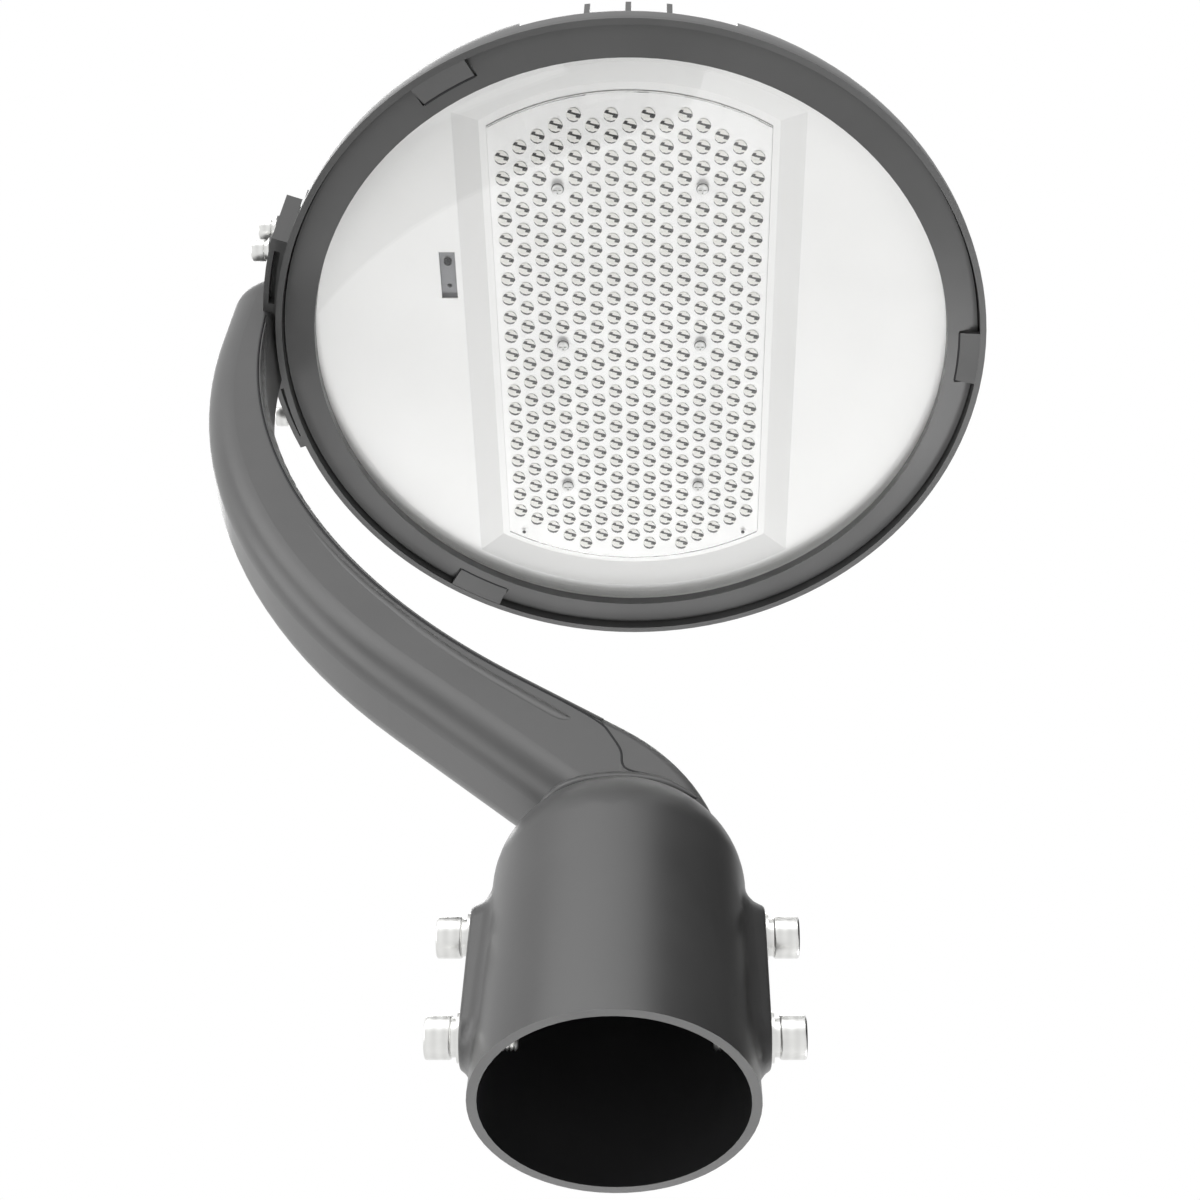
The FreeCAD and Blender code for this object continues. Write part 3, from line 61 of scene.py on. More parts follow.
def add_node(owner, kind, settings=None, inputs=None, stops=()):
    """Adds a node to a material or world. Settings are its properties, inputs are values or sockets to link
    by name or number, and stops are the positions and hex colours of a ramp."""
    tree = owner.node_tree
    item = tree.nodes.new(kind)
    for name, value in (settings or {}).items():
        setattr(item, name, value)
    for name, value in (inputs or {}).items():
        if isinstance(value, bpy.types.NodeSocket):
            tree.links.new(value, item.inputs[name])
        else:
            item.inputs[name].default_value = value
    for number, (position, code) in enumerate(stops):
        item.color_ramp.elements[number].position = position
        item.color_ramp.elements[number].color = linear(code)
    return item


def new_material(name):
    """An empty material made of nodes."""
    material = bpy.data.materials.new(name)
    material.use_nodes = True
    material.node_tree.nodes.clear()
    return material


# Finishes and the sizes of their patterns. Noise lies mostly between its low and its high value.
NOISE_LOW, NOISE_HIGH = 0.3, 0.7
COAT_CLOUD, SHEET_CLOUD = 35 * MM, 50 * MM
COAT_SMOOTH, COAT_ROUGH = 0.32, 0.38
ORANGE_PEEL, PEEL_DEPTH = 1.2 * MM, 0.1 * MM
BORE_REACH, BORE_LOW, BORE_HIGH = 39.9 * MM, 0.2 * MM, 80 * MM
TURNING_MARK, WAVE_LENGTH = 3.14 * MM, math.tau / 20
STEEL_SPREAD, SHEET_SPREAD = 0.06, 0.08
GRAIN_DEPTH = 0.05 * MM
SLOPING, LEVEL = 0.93, 0.99


def powder_coat(name, pale, dark, shaded_bore=False):
    """Satin polyester powder coat on die-cast aluminium: an even grey with slight clouds where the film is
    thicker and a fine orange peel that softens the highlights."""
    material = new_material(name)
    place = add_node(material, "ShaderNodeTexCoord").outputs["Object"]
    clouds = add_node(material, "ShaderNodeTexNoise", inputs={
        "Vector": place, "Scale": 1 / COAT_CLOUD, "Detail": 3.0}).outputs["Fac"]
    colour = add_node(material, "ShaderNodeValToRGB", inputs={"Fac": clouds},
                      stops=[(NOISE_LOW, dark), (NOISE_HIGH, pale)]).outputs["Color"]
    if shaded_bore:
        # Painted shade: the bore is coloured nearly black, standing in for the shade deep inside the socket.
        flat = add_node(material, "ShaderNodeVectorMath", {"operation": "MULTIPLY"}, {0: place, 1: (1, 1, 0)})
        reach = add_node(material, "ShaderNodeVectorMath", {"operation": "LENGTH"},
                         {0: flat.outputs["Vector"]})
        inside = add_node(material, "ShaderNodeMath", {"operation": "LESS_THAN"},
                          {0: reach.outputs["Value"], 1: BORE_REACH})
        spot = add_node(material, "ShaderNodeSeparateXYZ", inputs={"Vector": place})
        height = add_node(material, "ShaderNodeMath", {"operation": "COMPARE"}, {
            0: spot.outputs["Z"], 1: (BORE_HIGH + BORE_LOW) / 2, 2: (BORE_HIGH - BORE_LOW) / 2})
        bore_shade_mask = add_node(material, "ShaderNodeMath", {"operation": "MULTIPLY"},
                        {0: inside.outputs[0], 1: height.outputs[0]})
        colour = add_node(material, "ShaderNodeMix", {"data_type": "RGBA"},
                          {0: bore_shade_mask.outputs[0], 6: colour, 7: linear("2e2e2f")}).outputs[2]
    # Orange peel about 1.2 mm from crest to crest, twice the real size so that it shows.
    peel = add_node(material, "ShaderNodeTexNoise", inputs={
        "Vector": place, "Scale": 1 / ORANGE_PEEL, "Detail": 1.0})
    bump = add_node(material, "ShaderNodeBump", inputs={
        "Strength": 0.12, "Distance": PEEL_DEPTH, "Height": peel.outputs["Fac"]})
    gloss = add_node(material, "ShaderNodeMapRange", inputs={
        "Value": clouds, "From Min": NOISE_LOW, "From Max": NOISE_HIGH,
        "To Min": COAT_SMOOTH, "To Max": COAT_ROUGH})
    coat = add_node(material, "ShaderNodeBsdfPrincipled", inputs={
        "Base Color": colour, "Roughness": gloss.outputs["Result"], "Normal": bump.outputs["Normal"],
        "IOR": 1.5})
    add_node(material, "ShaderNodeOutputMaterial", inputs={"Surface": coat.outputs["BSDF"]})
    return material


def turned_steel(name, pale, dark, rough):
    """Steel fasteners turned along X and tumbled: bright and smooth, with faint rings round the axis."""
    material = new_material(name)
    place = add_node(material, "ShaderNodeTexCoord").outputs["Object"]
    # Turning marks about 3 mm apart along the axis, many times the real feed so that they show.
    rings = add_node(material, "ShaderNodeTexWave", {"wave_type": "BANDS", "bands_direction": "X"}, {
        "Vector": place, "Scale": WAVE_LENGTH / TURNING_MARK, "Distortion": 0.4,
        "Detail": 1.0}).outputs["Fac"]
    colour = add_node(material, "ShaderNodeValToRGB", inputs={"Fac": rings},
                      stops=[(0.0, dark), (1.0, pale)]).outputs["Color"]
    gloss = add_node(material, "ShaderNodeMapRange", inputs={
        "Value": rings, "To Min": rough, "To Max": rough + STEEL_SPREAD})
    metal = add_node(material, "ShaderNodeBsdfPrincipled", inputs={
        "Base Color": colour, "Metallic": 1.0, "Roughness": gloss.outputs["Result"]})
    add_node(material, "ShaderNodeOutputMaterial", inputs={"Surface": metal.outputs["BSDF"]})
    return material


def painted_sheet(name, pale, dark, rough, grain, slope_shade=None):
    """Coated sheet or moulded plastic: an even colour with a very fine grain. Where a slope colour is given,
    the drawn slopes get it as painted shade, greyer than the level faces."""
    material = new_material(name)
    place = add_node(material, "ShaderNodeTexCoord").outputs["Object"]
    clouds = add_node(material, "ShaderNodeTexNoise", inputs={
        "Vector": place, "Scale": 1 / SHEET_CLOUD, "Detail": 2.0})
    colour = add_node(material, "ShaderNodeValToRGB", inputs={"Fac": clouds.outputs["Fac"]},
                      stops=[(NOISE_LOW, dark), (NOISE_HIGH, pale)]).outputs["Color"]
    if slope_shade:
        # Painted shade: faces that lean away from level take the greyer slope colour.
        face = add_node(material, "ShaderNodeNewGeometry")
        lean = add_node(material, "ShaderNodeSeparateXYZ", inputs={"Vector": face.outputs["Normal"]})
        upright = add_node(material, "ShaderNodeMath", {"operation": "ABSOLUTE"}, {0: lean.outputs["Z"]})
        level_share = add_node(material, "ShaderNodeMapRange", inputs={
            "Value": upright.outputs[0], "From Min": SLOPING, "From Max": LEVEL})
        colour = add_node(material, "ShaderNodeMix", {"data_type": "RGBA"},
                          {0: level_share.outputs["Result"], 6: linear(slope_shade), 7: colour}).outputs[2]
    fine = add_node(material, "ShaderNodeTexNoise", inputs={
        "Vector": place, "Scale": 1 / grain, "Detail": 2.0}).outputs["Fac"]
    bump = add_node(material, "ShaderNodeBump", inputs={
        "Strength": 0.06, "Distance": GRAIN_DEPTH, "Height": fine})
    gloss = add_node(material, "ShaderNodeMapRange", inputs={
        "Value": fine, "From Min": NOISE_LOW, "From Max": NOISE_HIGH,
        "To Min": rough, "To Max": rough + SHEET_SPREAD})
    skin = add_node(material, "ShaderNodeBsdfPrincipled", inputs={
        "Base Color": colour, "Roughness": gloss.outputs["Result"], "Normal": bump.outputs["Normal"],
        "IOR": 1.5})
    add_node(material, "ShaderNodeOutputMaterial", inputs={"Surface": skin.outputs["BSDF"]})
    return material


def clear(name, tint, ior, rough):
    """Clear glass or acrylic: bends what is seen through it and lets the lamps reach what lies behind."""
    material = new_material(name)
    pane = add_node(material, "ShaderNodeBsdfPrincipled", inputs={
        "Base Color": linear(tint), "Transmission Weight": 1.0, "IOR": ior, "Roughness": rough})
    open_way = add_node(material, "ShaderNodeBsdfTransparent", inputs={"Color": linear(tint)})
    path = add_node(material, "ShaderNodeLightPath")
    lamp_rays = add_node(material, "ShaderNodeMath", {"operation": "MAXIMUM"},
                         {0: path.outputs["Is Shadow Ray"], 1: path.outputs["Is Diffuse Ray"]})
    both = add_node(material, "ShaderNodeMixShader", inputs={
        0: lamp_rays.outputs[0], 1: pane.outputs["BSDF"], 2: open_way.outputs["BSDF"]})
    add_node(material, "ShaderNodeOutputMaterial", inputs={"Surface": both.outputs["Shader"]})
    return material


# The castings' coat is a satin mid grey, with painted shade that turns it nearly black in the socket's bore.
casting_coat = powder_coat("grey_powder_coat_casting", "565656", "505050", shaded_bore=True)
head_coat = powder_coat("grey_powder_coat_head", "565656", "505050")
# Stainless steel is bright, plain zinc duller, bright zinc the palest, and black oxide a dark satin.
steel = turned_steel("stainless_steel_turned", "ececea", "e1e1df", 0.28)
plated = turned_steel("zinc_plated_steel", "dcdcda", "cececc", 0.38)
bright_zinc = turned_steel("bright_zinc_steel", "f2f2f1", "eaeae8", 0.3)
black_steel = turned_steel("black_oxide_steel", "3a3a3c", "2c2c2e", 0.35)
# Enamel and solder mask are smooth whites with a soft sheen, the enamel with painted shade on the slopes of
# its recess, and the tab's zinc is a dull grey.
white_coat = painted_sheet("white_enamel_sheet", "ececeb", "e8e8e7", 0.42, 0.6 * MM, slope_shade="dededd")
solder_mask = painted_sheet("white_solder_mask", "fbfbfa", "f8f8f7", 0.38, 0.4 * MM)
tab_coat = painted_sheet("grey_zinc_plate", "8d8e90", "808183", 0.45, 0.5 * MM)
# Card and rubber are dark and dull, silicone and nylon milky, and the driver's case is a pale satin grey.
dark_card = painted_sheet("black_card", "0c0c0c", "0a0a0a", 0.9, 2 * MM)
black_rubber = painted_sheet("black_epdm_rubber", "29292b", "222224", 0.7, 0.5 * MM)
white_silicone = painted_sheet("white_silicone_rubber", "dededb", "d6d6d3", 0.55, 0.5 * MM)
driver_case = painted_sheet("driver_case_aluminium", "b9babc", "adaeb0", 0.4, 0.5 * MM)
white_nylon = painted_sheet("white_nylon", "e4e3de", "dad9d4", 0.5, 0.5 * MM)
# The LEDs are warm white ceramic with a nearly black lead frame, and the same dark colour paints shade on one
# side of each cup's rim.
package_white = painted_sheet("led_package_ceramic", "ecebe6", "e2e1dc", 0.5, 0.2 * MM)
lead_frame_and_cup_shade = painted_sheet("led_lead_frame_and_cup_shade", "141416", "0e0e10", 0.5, 0.2 * MM)
# Glass and acrylic show by their gloss, their edges and what they bend.
glass = clear("toughened_float_glass", "fefefe", 1.52, 0.0)
acrylic = clear("lens_acrylic", "fdfdfd", 1.49, 0.02)

FINISHES = {
    "arm_casting": casting_coat,
    "arm_cover": head_coat,
    "arm_cover_screws": black_steel,
    "bezel_ring": head_coat,
    "cable_grommet": black_rubber,
    "driver_screws": plated,
    "flange_bolt_spring_washers": steel,
    "flange_bolt_washers": steel,
    "flange_bolts": steel,
    "flange_gasket": black_rubber,
    "glass_gasket": white_silicone,
    "glass_lens": glass,
    "head_housing": head_coat,
    "led_board": solder_mask,
    "led_driver": driver_case,
    "lens_plate": acrylic,
    "lens_plate_screws": plated,
    "pole_screw_spring_washers": steel,
    "pole_screw_washers": steel,
    "pole_screws": steel,
    "reflector_plate": white_coat,
    "service_tab": tab_coat,
    "service_tab_screw": black_steel,
    "terminal_block": white_nylon,
    "terminal_screws": plated,
}
for name, finish in FINISHES.items():
    mesh = solids[name].data
    mesh.materials.clear()
    mesh.materials.append(finish)


# Shaping tools
def choose(*pieces):
    """Selects these pieces alone and makes the first one active."""
    bpy.ops.object.select_all(action="DESELECT")
    for piece in pieces:
        piece.select_set(True)
    bpy.context.view_layer.objects.active = pieces[0]


def edit(piece):
    """Opens one piece in edit mode with all its faces selected."""
    choose(piece)
    bpy.ops.object.mode_set(mode="EDIT")
    bpy.ops.mesh.select_mode(type="FACE")
    bpy.ops.mesh.select_all(action="SELECT")


def done():
    """Closes edit mode."""
    bpy.ops.object.mode_set(mode="OBJECT")


def joined(*pieces):
    """Joins pieces into the first one, with their places left in the mesh."""
    choose(*pieces)
    bpy.ops.object.transform_apply(location=True, rotation=True, scale=True)
    bpy.ops.object.join()
    return pieces[0]


def copies(piece, places):
    """The piece at each place, every copy with its own mesh, joined into one. The piece itself is removed."""
    items = []
    for place in places:
        item = piece.copy()
        item.data = piece.data.copy()
        item.location = place
        bpy.context.scene.collection.objects.link(item)
        items.append(item)
    bpy.data.objects.remove(piece)
    return joined(*items)


def rounded(piece, width, segments=3, angle=30):
    """Rounds the edges of a piece at which its faces turn by more than the angle in degrees."""
    soft = piece.modifiers.new("rounded_edges", "BEVEL")
    soft.width = width
    soft.segments = segments
    soft.limit_method = "ANGLE"
    soft.angle_limit = math.radians(angle)
    bpy.context.view_layer.objects.active = piece
    bpy.ops.object.modifier_apply(modifier="rounded_edges")


def hollow(piece, tool):
    """Cuts the tool's shape out of a piece and removes the tool."""
    cutter = piece.modifiers.new("recess", "BOOLEAN")
    cutter.object = tool
    cutter.solver = "EXACT"
    bpy.context.view_layer.objects.active = piece
    bpy.ops.object.modifier_apply(modifier="recess")
    bpy.data.objects.remove(tool)


def settle(piece, name, material=None):
    """Names a finished piece, leaves its place in its mesh, and lets it ride on the light's one body."""
    choose(piece)
    bpy.ops.object.transform_apply(location=True, rotation=True, scale=True)
    piece.name = name
    piece.data.name = name
    if material:
        piece.data.materials.clear()
        piece.data.materials.append(material)
    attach(piece, "root")
    piece.select_set(False)
    return piece


# Lens field: the places of the lenses and of the plate's screws, as on the plate's solid
PITCH_X, PITCH_Y = 8 * MM, 10 * MM
COLUMNS, ROWS = range(-7, 8), range(-13, 13)
SCREW_COLUMN, SCREW_ROW, SCREW_ROOM = 4, 8, 1 * MM
PLATE_HALF, PLATE_RADIUS, PLATE_MARGIN = 62 * MM, 125 * MM, 7 * MM
LENS_RADIUS, LENS_HEIGHT, LENS_SQUASH = 3.3 * MM, 2.6 * MM, 0.72
RIM_ROUND, RIM_ANGLE = 0.4 * MM, 60
plate_low, plate_high = (corner.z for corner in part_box("lens_plate"))
plate_face = plate_low + LENS_HEIGHT
screw_places = [(column * SCREW_COLUMN * PITCH_X, row * SCREW_ROW * PITCH_Y)
                for column in (-1, 1) for row in (-1, 0, 1)]
lens_places = []
for column in COLUMNS:
    for row in ROWS:
        x, y = column * PITCH_X, (row + 0.5 * (column % 2)) * PITCH_Y
        on_screw = min(math.hypot(x - a, y - b) for a, b in screw_places) < SCREW_ROOM
        if math.hypot(x, y) <= PLATE_RADIUS - PLATE_MARGIN and not on_screw:
            lens_places.append((x, y))


def lens_domes():
    """Moulded lenses: a low dome that faces down, one under each LED."""
    bpy.ops.mesh.primitive_uv_sphere_add(segments=12, ring_count=6, radius=LENS_RADIUS)
    dome = bpy.context.object
    edit(dome)
    bpy.ops.mesh.bisect(plane_co=(0, 0, 0), plane_no=(0, 0, 1), clear_outer=True)
    bpy.ops.mesh.select_all(action="SELECT")
    bpy.ops.transform.resize(value=(1, 1, LENS_SQUASH))
    done()
    bpy.ops.object.shade_smooth()
    return copies(dome, [(x, y, plate_face) for x, y in lens_places])


def lens_sheet():
    """The clear plate that carries the lenses: a disc with two flats and a soft rim."""
    bpy.ops.mesh.primitive_cylinder_add(vertices=96, radius=PLATE_RADIUS, depth=plate_high - plate_face,
                                        location=(0, 0, (plate_high + plate_face) / 2))
    sheet = bpy.context.object
    bpy.ops.object.transform_apply(location=True, rotation=True, scale=True)
    for side in (-1, 1):
        edit(sheet)
        bpy.ops.mesh.bisect(plane_co=(side * PLATE_HALF, 0, 0), plane_no=(side, 0, 0), use_fill=True,
                            clear_outer=True)
        done()
    rounded(sheet, RIM_ROUND, segments=2, angle=RIM_ANGLE)
    return sheet


lens_array = settle(joined(lens_sheet(), lens_domes()), "lens_array", acrylic)
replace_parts(lens_array, "lens_plate")


# LEDs: white cups on the board whose dark lead frame shows as a hooked bar, with painted shade in two dark
# arcs on one side of the rim
LED_RADIUS, LED_RIM, LED_HEIGHT = 2.7 * MM, 0.62 * MM, 0.5 * MM
LED_WALL = 0.96 * LED_HEIGHT
BAR_HALF, HOOK_FROM, HOOK_REACH = 0.31 * MM, 0.7 * MM, 0.95 * MM
BAR_TURN = math.radians(-15)
# Painted shade: the rim is dark between these angles, on one side of each cup.
CUP_SHADE_ARCS = [(-65, 25), (50, 145)]
bar_across = Vector((math.sin(BAR_TURN), math.cos(BAR_TURN), 0))
bar_along = Vector((math.cos(BAR_TURN), -math.sin(BAR_TURN), 0))


def is_lead_or_cup_shade(spot):
    """True on the two dark arcs of the rim, painted shade whose ends are in degrees, and on the hooked bar of
    lead frame across the cup.
    """
    if spot.xy.length > LED_RADIUS - LED_RIM:
        angle = math.degrees(math.atan2(spot.y, spot.x))
        return any(start < angle < end for start, end in CUP_SHADE_ARCS)
    over, out = spot.dot(bar_across), spot.dot(bar_along)
    hooked = abs(out) > HOOK_FROM and abs(over) < HOOK_REACH and over * out > 0
    return abs(over) < BAR_HALF or hooked


def led_packages():
    """One cup, cut along the edges of its dark marks and open where it sits on the board, at each place."""
    board_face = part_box("led_board")[0].z
    bpy.ops.mesh.primitive_circle_add(vertices=12, radius=LED_RADIUS, fill_type="NGON",
                                      location=(0, 0, -LED_HEIGHT), rotation=(math.pi, 0, 0))
    package = bpy.context.object
    bpy.ops.object.transform_apply(location=True, rotation=True, scale=True)
    package.data.materials.append(package_white)
    package.data.materials.append(lead_frame_and_cup_shade)
    cuts = [(bar_across, BAR_HALF), (bar_across, -BAR_HALF), (bar_across, HOOK_REACH),
            (bar_across, -HOOK_REACH), (bar_along, HOOK_FROM), (bar_along, -HOOK_FROM)]
    edit(package)
    bpy.ops.mesh.inset(thickness=LED_RIM)
    for way, distance in cuts:
        mesh = bmesh.from_edit_mesh(package.data)
        for face in mesh.faces:
            reach = max(corner.co.xy.length for corner in face.verts)
            face.select = reach < LED_RADIUS - 0.5 * LED_RIM
        bmesh.update_edit_mesh(package.data)
        bpy.ops.mesh.bisect(plane_co=way * distance + Vector((0, 0, -LED_HEIGHT)), plane_no=way)
    bpy.ops.mesh.select_mode(type="EDGE")
    bpy.ops.mesh.select_all(action="DESELECT")
    mesh = bmesh.from_edit_mesh(package.data)
    for face in mesh.faces:
        face.material_index = 1 if is_lead_or_cup_shade(face.calc_center_median()) else 0
    for edge in mesh.edges:
        edge.select = edge.is_boundary
    mesh.select_flush(True)
    bpy.ops.mesh.extrude_edges_move(TRANSFORM_OT_translate={"value": (0, 0, LED_WALL)})
    done()
    settle(copies(package, [(x, y, board_face) for x, y in lens_places]), "led_packages")


led_packages()


# Cross-head screws of the lens plate, dark rings under their heads as painted shade round them, and the pegs
# at the plate's far end
HEAD_RADIUS, HEAD_HEIGHT, HEAD_ROUND = 2.5 * MM, 1.6 * MM, 1.1 * MM
SHANK_RADIUS = 1.4 * MM
CROSS_SIZE = (3.6 * MM, 0.6 * MM, 2.4 * MM)
SHADE_RING_RADIUS, SHADE_RING_CORD, SHADE_RING_SQUASH, SHADE_RING_DEPTH = 2.55 * MM, 0.22 * MM, 0.5, 1.45 * MM
PEG_RADIUS, PEG_LENGTH, PEG_ROUND = 0.9 * MM, 0.5 * MM, 0.15 * MM
PEG_X, PEG_Y = 54.8 * MM, 108.3 * MM
SMOOTH_ANGLE = math.radians(35)


def plate_screws():
    """Round heads with a cross, on plain shanks."""
    low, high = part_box("lens_plate_screws")
    bpy.ops.mesh.primitive_cylinder_add(vertices=20, radius=HEAD_RADIUS, depth=HEAD_HEIGHT,
                                        location=(0, 0, HEAD_HEIGHT / 2))
    head = bpy.context.object
    bpy.ops.object.transform_apply(location=True, rotation=True, scale=True)
    rounded(head, HEAD_ROUND)
    for turn in (0, math.pi / 2):
        bpy.ops.mesh.primitive_cube_add(size=1.0, location=(0, 0, 0), rotation=(0, 0, turn))
        tool = bpy.context.object
        tool.scale = CROSS_SIZE
        hollow(head, tool)
    length = high.z - low.z
    bpy.ops.mesh.primitive_cylinder_add(vertices=12, radius=SHANK_RADIUS, depth=length - HEAD_HEIGHT,
                                        location=(0, 0, (length + HEAD_HEIGHT) / 2))
    screw = joined(head, bpy.context.object)
    bpy.ops.object.shade_smooth_by_angle(angle=SMOOTH_ANGLE)
    whole = copies(screw, [(x, y, low.z) for x, y in screw_places])
    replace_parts(settle(whole, "lens_plate_cross_screws", bright_zinc), "lens_plate_screws")


def plate_screw_shade_rings():
    """Flat dark rings under the screws' heads: painted shade round each head."""
    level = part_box("lens_plate_screws")[0].z + SHADE_RING_DEPTH
    bpy.ops.mesh.primitive_torus_add(major_segments=24, minor_segments=6, major_radius=SHADE_RING_RADIUS,
                                     minor_radius=SHADE_RING_CORD)
    ring = bpy.context.object
    edit(ring)
    bpy.ops.transform.resize(value=(1, 1, SHADE_RING_SQUASH))
    done()
    bpy.ops.object.shade_smooth()
    settle(copies(ring, [(x, y, level) for x, y in screw_places]), "lens_plate_screw_shade_rings", black_rubber)


def plate_pegs():
    """Two small rubber pegs at the far end that locate the lens plate on the board."""
    bpy.ops.mesh.primitive_cylinder_add(vertices=16, radius=PEG_RADIUS, depth=PEG_LENGTH)
    peg = bpy.context.object
    rounded(peg, PEG_ROUND)
    places = [(side * PEG_X, PEG_Y, plate_face) for side in (-1, 1)]
    settle(copies(peg, places), "lens_plate_pegs", black_rubber)


plate_screws()
plate_screw_shade_rings()
plate_pegs()


# Cap screws with a rounded head, a hexagon socket and a threaded shank, in the two sizes of the light
M8 = {"diameter": 8 * MM, "head": 13 * MM, "height": 8 * MM, "key": 6 * MM, "pitch": 1.25 * MM}
M6 = {"diameter": 6 * MM, "head": 10 * MM, "height": 6 * MM, "key": 5 * MM, "pitch": 1 * MM}
CAP_ROUND, THREAD_ROOT, SHANK_POINT = 0.09, 0.86, 0.8
POLE_LEVELS, POLE_SHANK = (24 * MM, 62.5 * MM), 19.5 * MM


def cap_screw(place, side, length, diameter, head, height, key, pitch):
    """One screw along X with its head outside the place of its seat; side is the way that the head points."""
    bpy.ops.mesh.primitive_cylinder_add(vertices=40, radius=head / 2, depth=height,
                                        location=(0, 0, height / 2))
    cap = bpy.context.object
    bpy.ops.object.transform_apply(location=True, rotation=True, scale=True)
    rounded(cap, CAP_ROUND * height)
    bpy.ops.mesh.primitive_cylinder_add(vertices=6, radius=key / math.sqrt(3), depth=height,
                                        location=(0, 0, height))
    hollow(cap, bpy.context.object)
    bpy.ops.mesh.primitive_circle_add(vertices=24, radius=diameter / 2, fill_type="NGON", location=(0, 0, 0))
    shank = bpy.context.object
    edit(shank)
    turns = int(length / pitch - 0.5)
    for turn in range(turns):
        for waist in (THREAD_ROOT, 1 / THREAD_ROOT):
            bpy.ops.mesh.extrude_region_move(TRANSFORM_OT_translate={"value": (0, 0, -0.5 * pitch)})
            bpy.ops.transform.resize(value=(waist, waist, 1))
    bpy.ops.mesh.extrude_region_move(TRANSFORM_OT_translate={"value": (0, 0, turns * pitch - length)})
    bpy.ops.transform.resize(value=(SHANK_POINT, SHANK_POINT, 1))
    bpy.ops.mesh.select_all(action="SELECT")
    bpy.ops.mesh.normals_make_consistent(inside=False)
    done()
    screw = joined(cap, shank)
    bpy.ops.object.shade_smooth_by_angle(angle=SMOOTH_ANGLE)
    screw.rotation_euler = (0, side * math.pi / 2, 0)
    screw.location = place
    return screw


def dressed_screws():
    """The four screws at the pole and the four bolts of the flange, each where its solid is."""
    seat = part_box("pole_screws")[1].x - M8["height"]
    pole = []
    for side in (-1, 1):
        for level in POLE_LEVELS:
            pole.append(cap_screw((side * seat, 0, level), side, POLE_SHANK, **M8))
    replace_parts(settle(joined(*pole), "pole_cap_screws", steel), "pole_screws")
    low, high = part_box("flange_bolts")
    length = high.x - low.x - M6["height"]
    inset = M6["head"] / 2
    bolts = []
    for y in (low.y + inset, high.y - inset):
        for z in (low.z + inset, high.z - inset):
            bolts.append(cap_screw((low.x + M6["height"], y, z), -1, length, **M6))
    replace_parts(settle(joined(*bolts), "flange_cap_bolts", steel), "flange_bolts")


dressed_screws()


# Trim along the arm: the seal in the cover's seam, the bead beside it and the ridge cast on the arm
FOOT_X, FOOT_Z = 34.1 * MM, 74.5 * MM
BEND, RUN, ARC = 81.2 * MM, 46.8 * MM, 317.5 * MM
TURN = math.radians(53.4)
ARM_SIDE = 19.2 * MM
TRIM_END, TRIM_STEPS = 0.97, 40
SEAM_START, SEAM_INSET, SEAM_DEPTH = 0.235, 3.15 * MM, 0.25 * MM
# The seam's points are x and z in mm.
HEEL_SEAM = [(9.5, 115.6), (4.2, 116.9), (1.2, 118.9), (0.35, 121.5), (0.35, 125.5), (-0.6, 129.0),
             (-3.5, 134.7), (-6.2, 140.1)]
FILLED_SEAM, FILL_DEPTH = [(0.3, 112.0), (0.3, 116.0), (0.3, 120.4)], 0.28 * MM
BEAD_START, BEAD_INSET, BEAD_DEPTH = 0.20, 2.2 * MM, 0.5 * MM
RIDGE_START, RIDGE_LENGTH, RIDGE_STEPS, RIDGE_DEPTH = 0.245, 0.65, 35, 0.5 * MM
# The hook's points are x and z in mm and the share of the ridge's width.
RIDGE_HOOK = [(-17.4, 144.6, 0.5), (-18.3, 142.2, 0.9)]
RIDGE_LOW_INSET, RIDGE_HIGH_INSET, RIDGE_SWING = 9.3 * MM, 6.0 * MM, 10
RIDGE_THIN, RIDGE_TAPER = 0.3, 45


def arm_point(way, inset):
    """Point of the arm's inner side, moved in by the inset. The side is a bend above its foot, a straight
    run and a long arc the other way, and way counts along it from 0 at the dome to 1 at the head."""
    foot, bend, arc = FOOT_X - inset, BEND - inset, ARC + inset
    first, second, third = BEND * TURN, RUN, ARC * TURN
    length = way * (first + second + third)
    sine, cosine = math.sin(TURN), math.cos(TURN)
    if length <= first:
        angle = length / BEND
        return foot - bend * (1 - math.cos(angle)), FOOT_Z + bend * math.sin(angle)
    step = min(length - first, second)
    x = foot - bend * (1 - cosine) - step * sine
    z = FOOT_Z + bend * sine + step * cosine
    if length <= first + second:
        return x, z
    angle = TURN - (length - first - second) / ARC
    return x - arc * (math.cos(angle) - cosine), z + arc * (sine - math.sin(angle))


def cover_edge(start, inset):
    """Points beside the cover's edge, from a way along the arm up to the top end of the trim."""
    span = TRIM_END - start
    return [arm_point(start + span * step / TRIM_STEPS, inset) for step in range(TRIM_STEPS + 1)]


def on_side(points, depth):
    """Points of a strip of even width, as deep as said below the side of the arm."""
    return [(x, ARM_SIDE - depth, z, 1.0) for x, z in points]


def strip(name, points, radius, material, flat=1.0):
    """A strip laid along points on the far side of the light, and its mirror image on the near side. A point
    has its place and its share of the radius, and flat is the strip's thickness across the light, counted
    in its widths."""
    sides = []
    for side in (-1, 1):
        data = bpy.data.curves.new(name, "CURVE")
        data.dimensions = "3D"
        data.bevel_depth = radius
        data.bevel_resolution = 3
        data.use_fill_caps = True
        line = data.splines.new("NURBS")
        line.points.add(len(points) - 1)
        for spot, (x, y, z, width) in zip(line.points, points):
            spot.co = (x, side * y / flat, z, 1)
            spot.radius = width
        line.order_u = 3
        line.use_endpoint_u = True
        item = bpy.data.objects.new(name, data)
        bpy.context.scene.collection.objects.link(item)
        item.scale = (1, flat, 1)
        choose(item)
        bpy.ops.object.convert(target="MESH")
        bpy.ops.object.shade_smooth()
        sides.append(bpy.context.view_layer.objects.active)
    settle(joined(*sides), name, material)


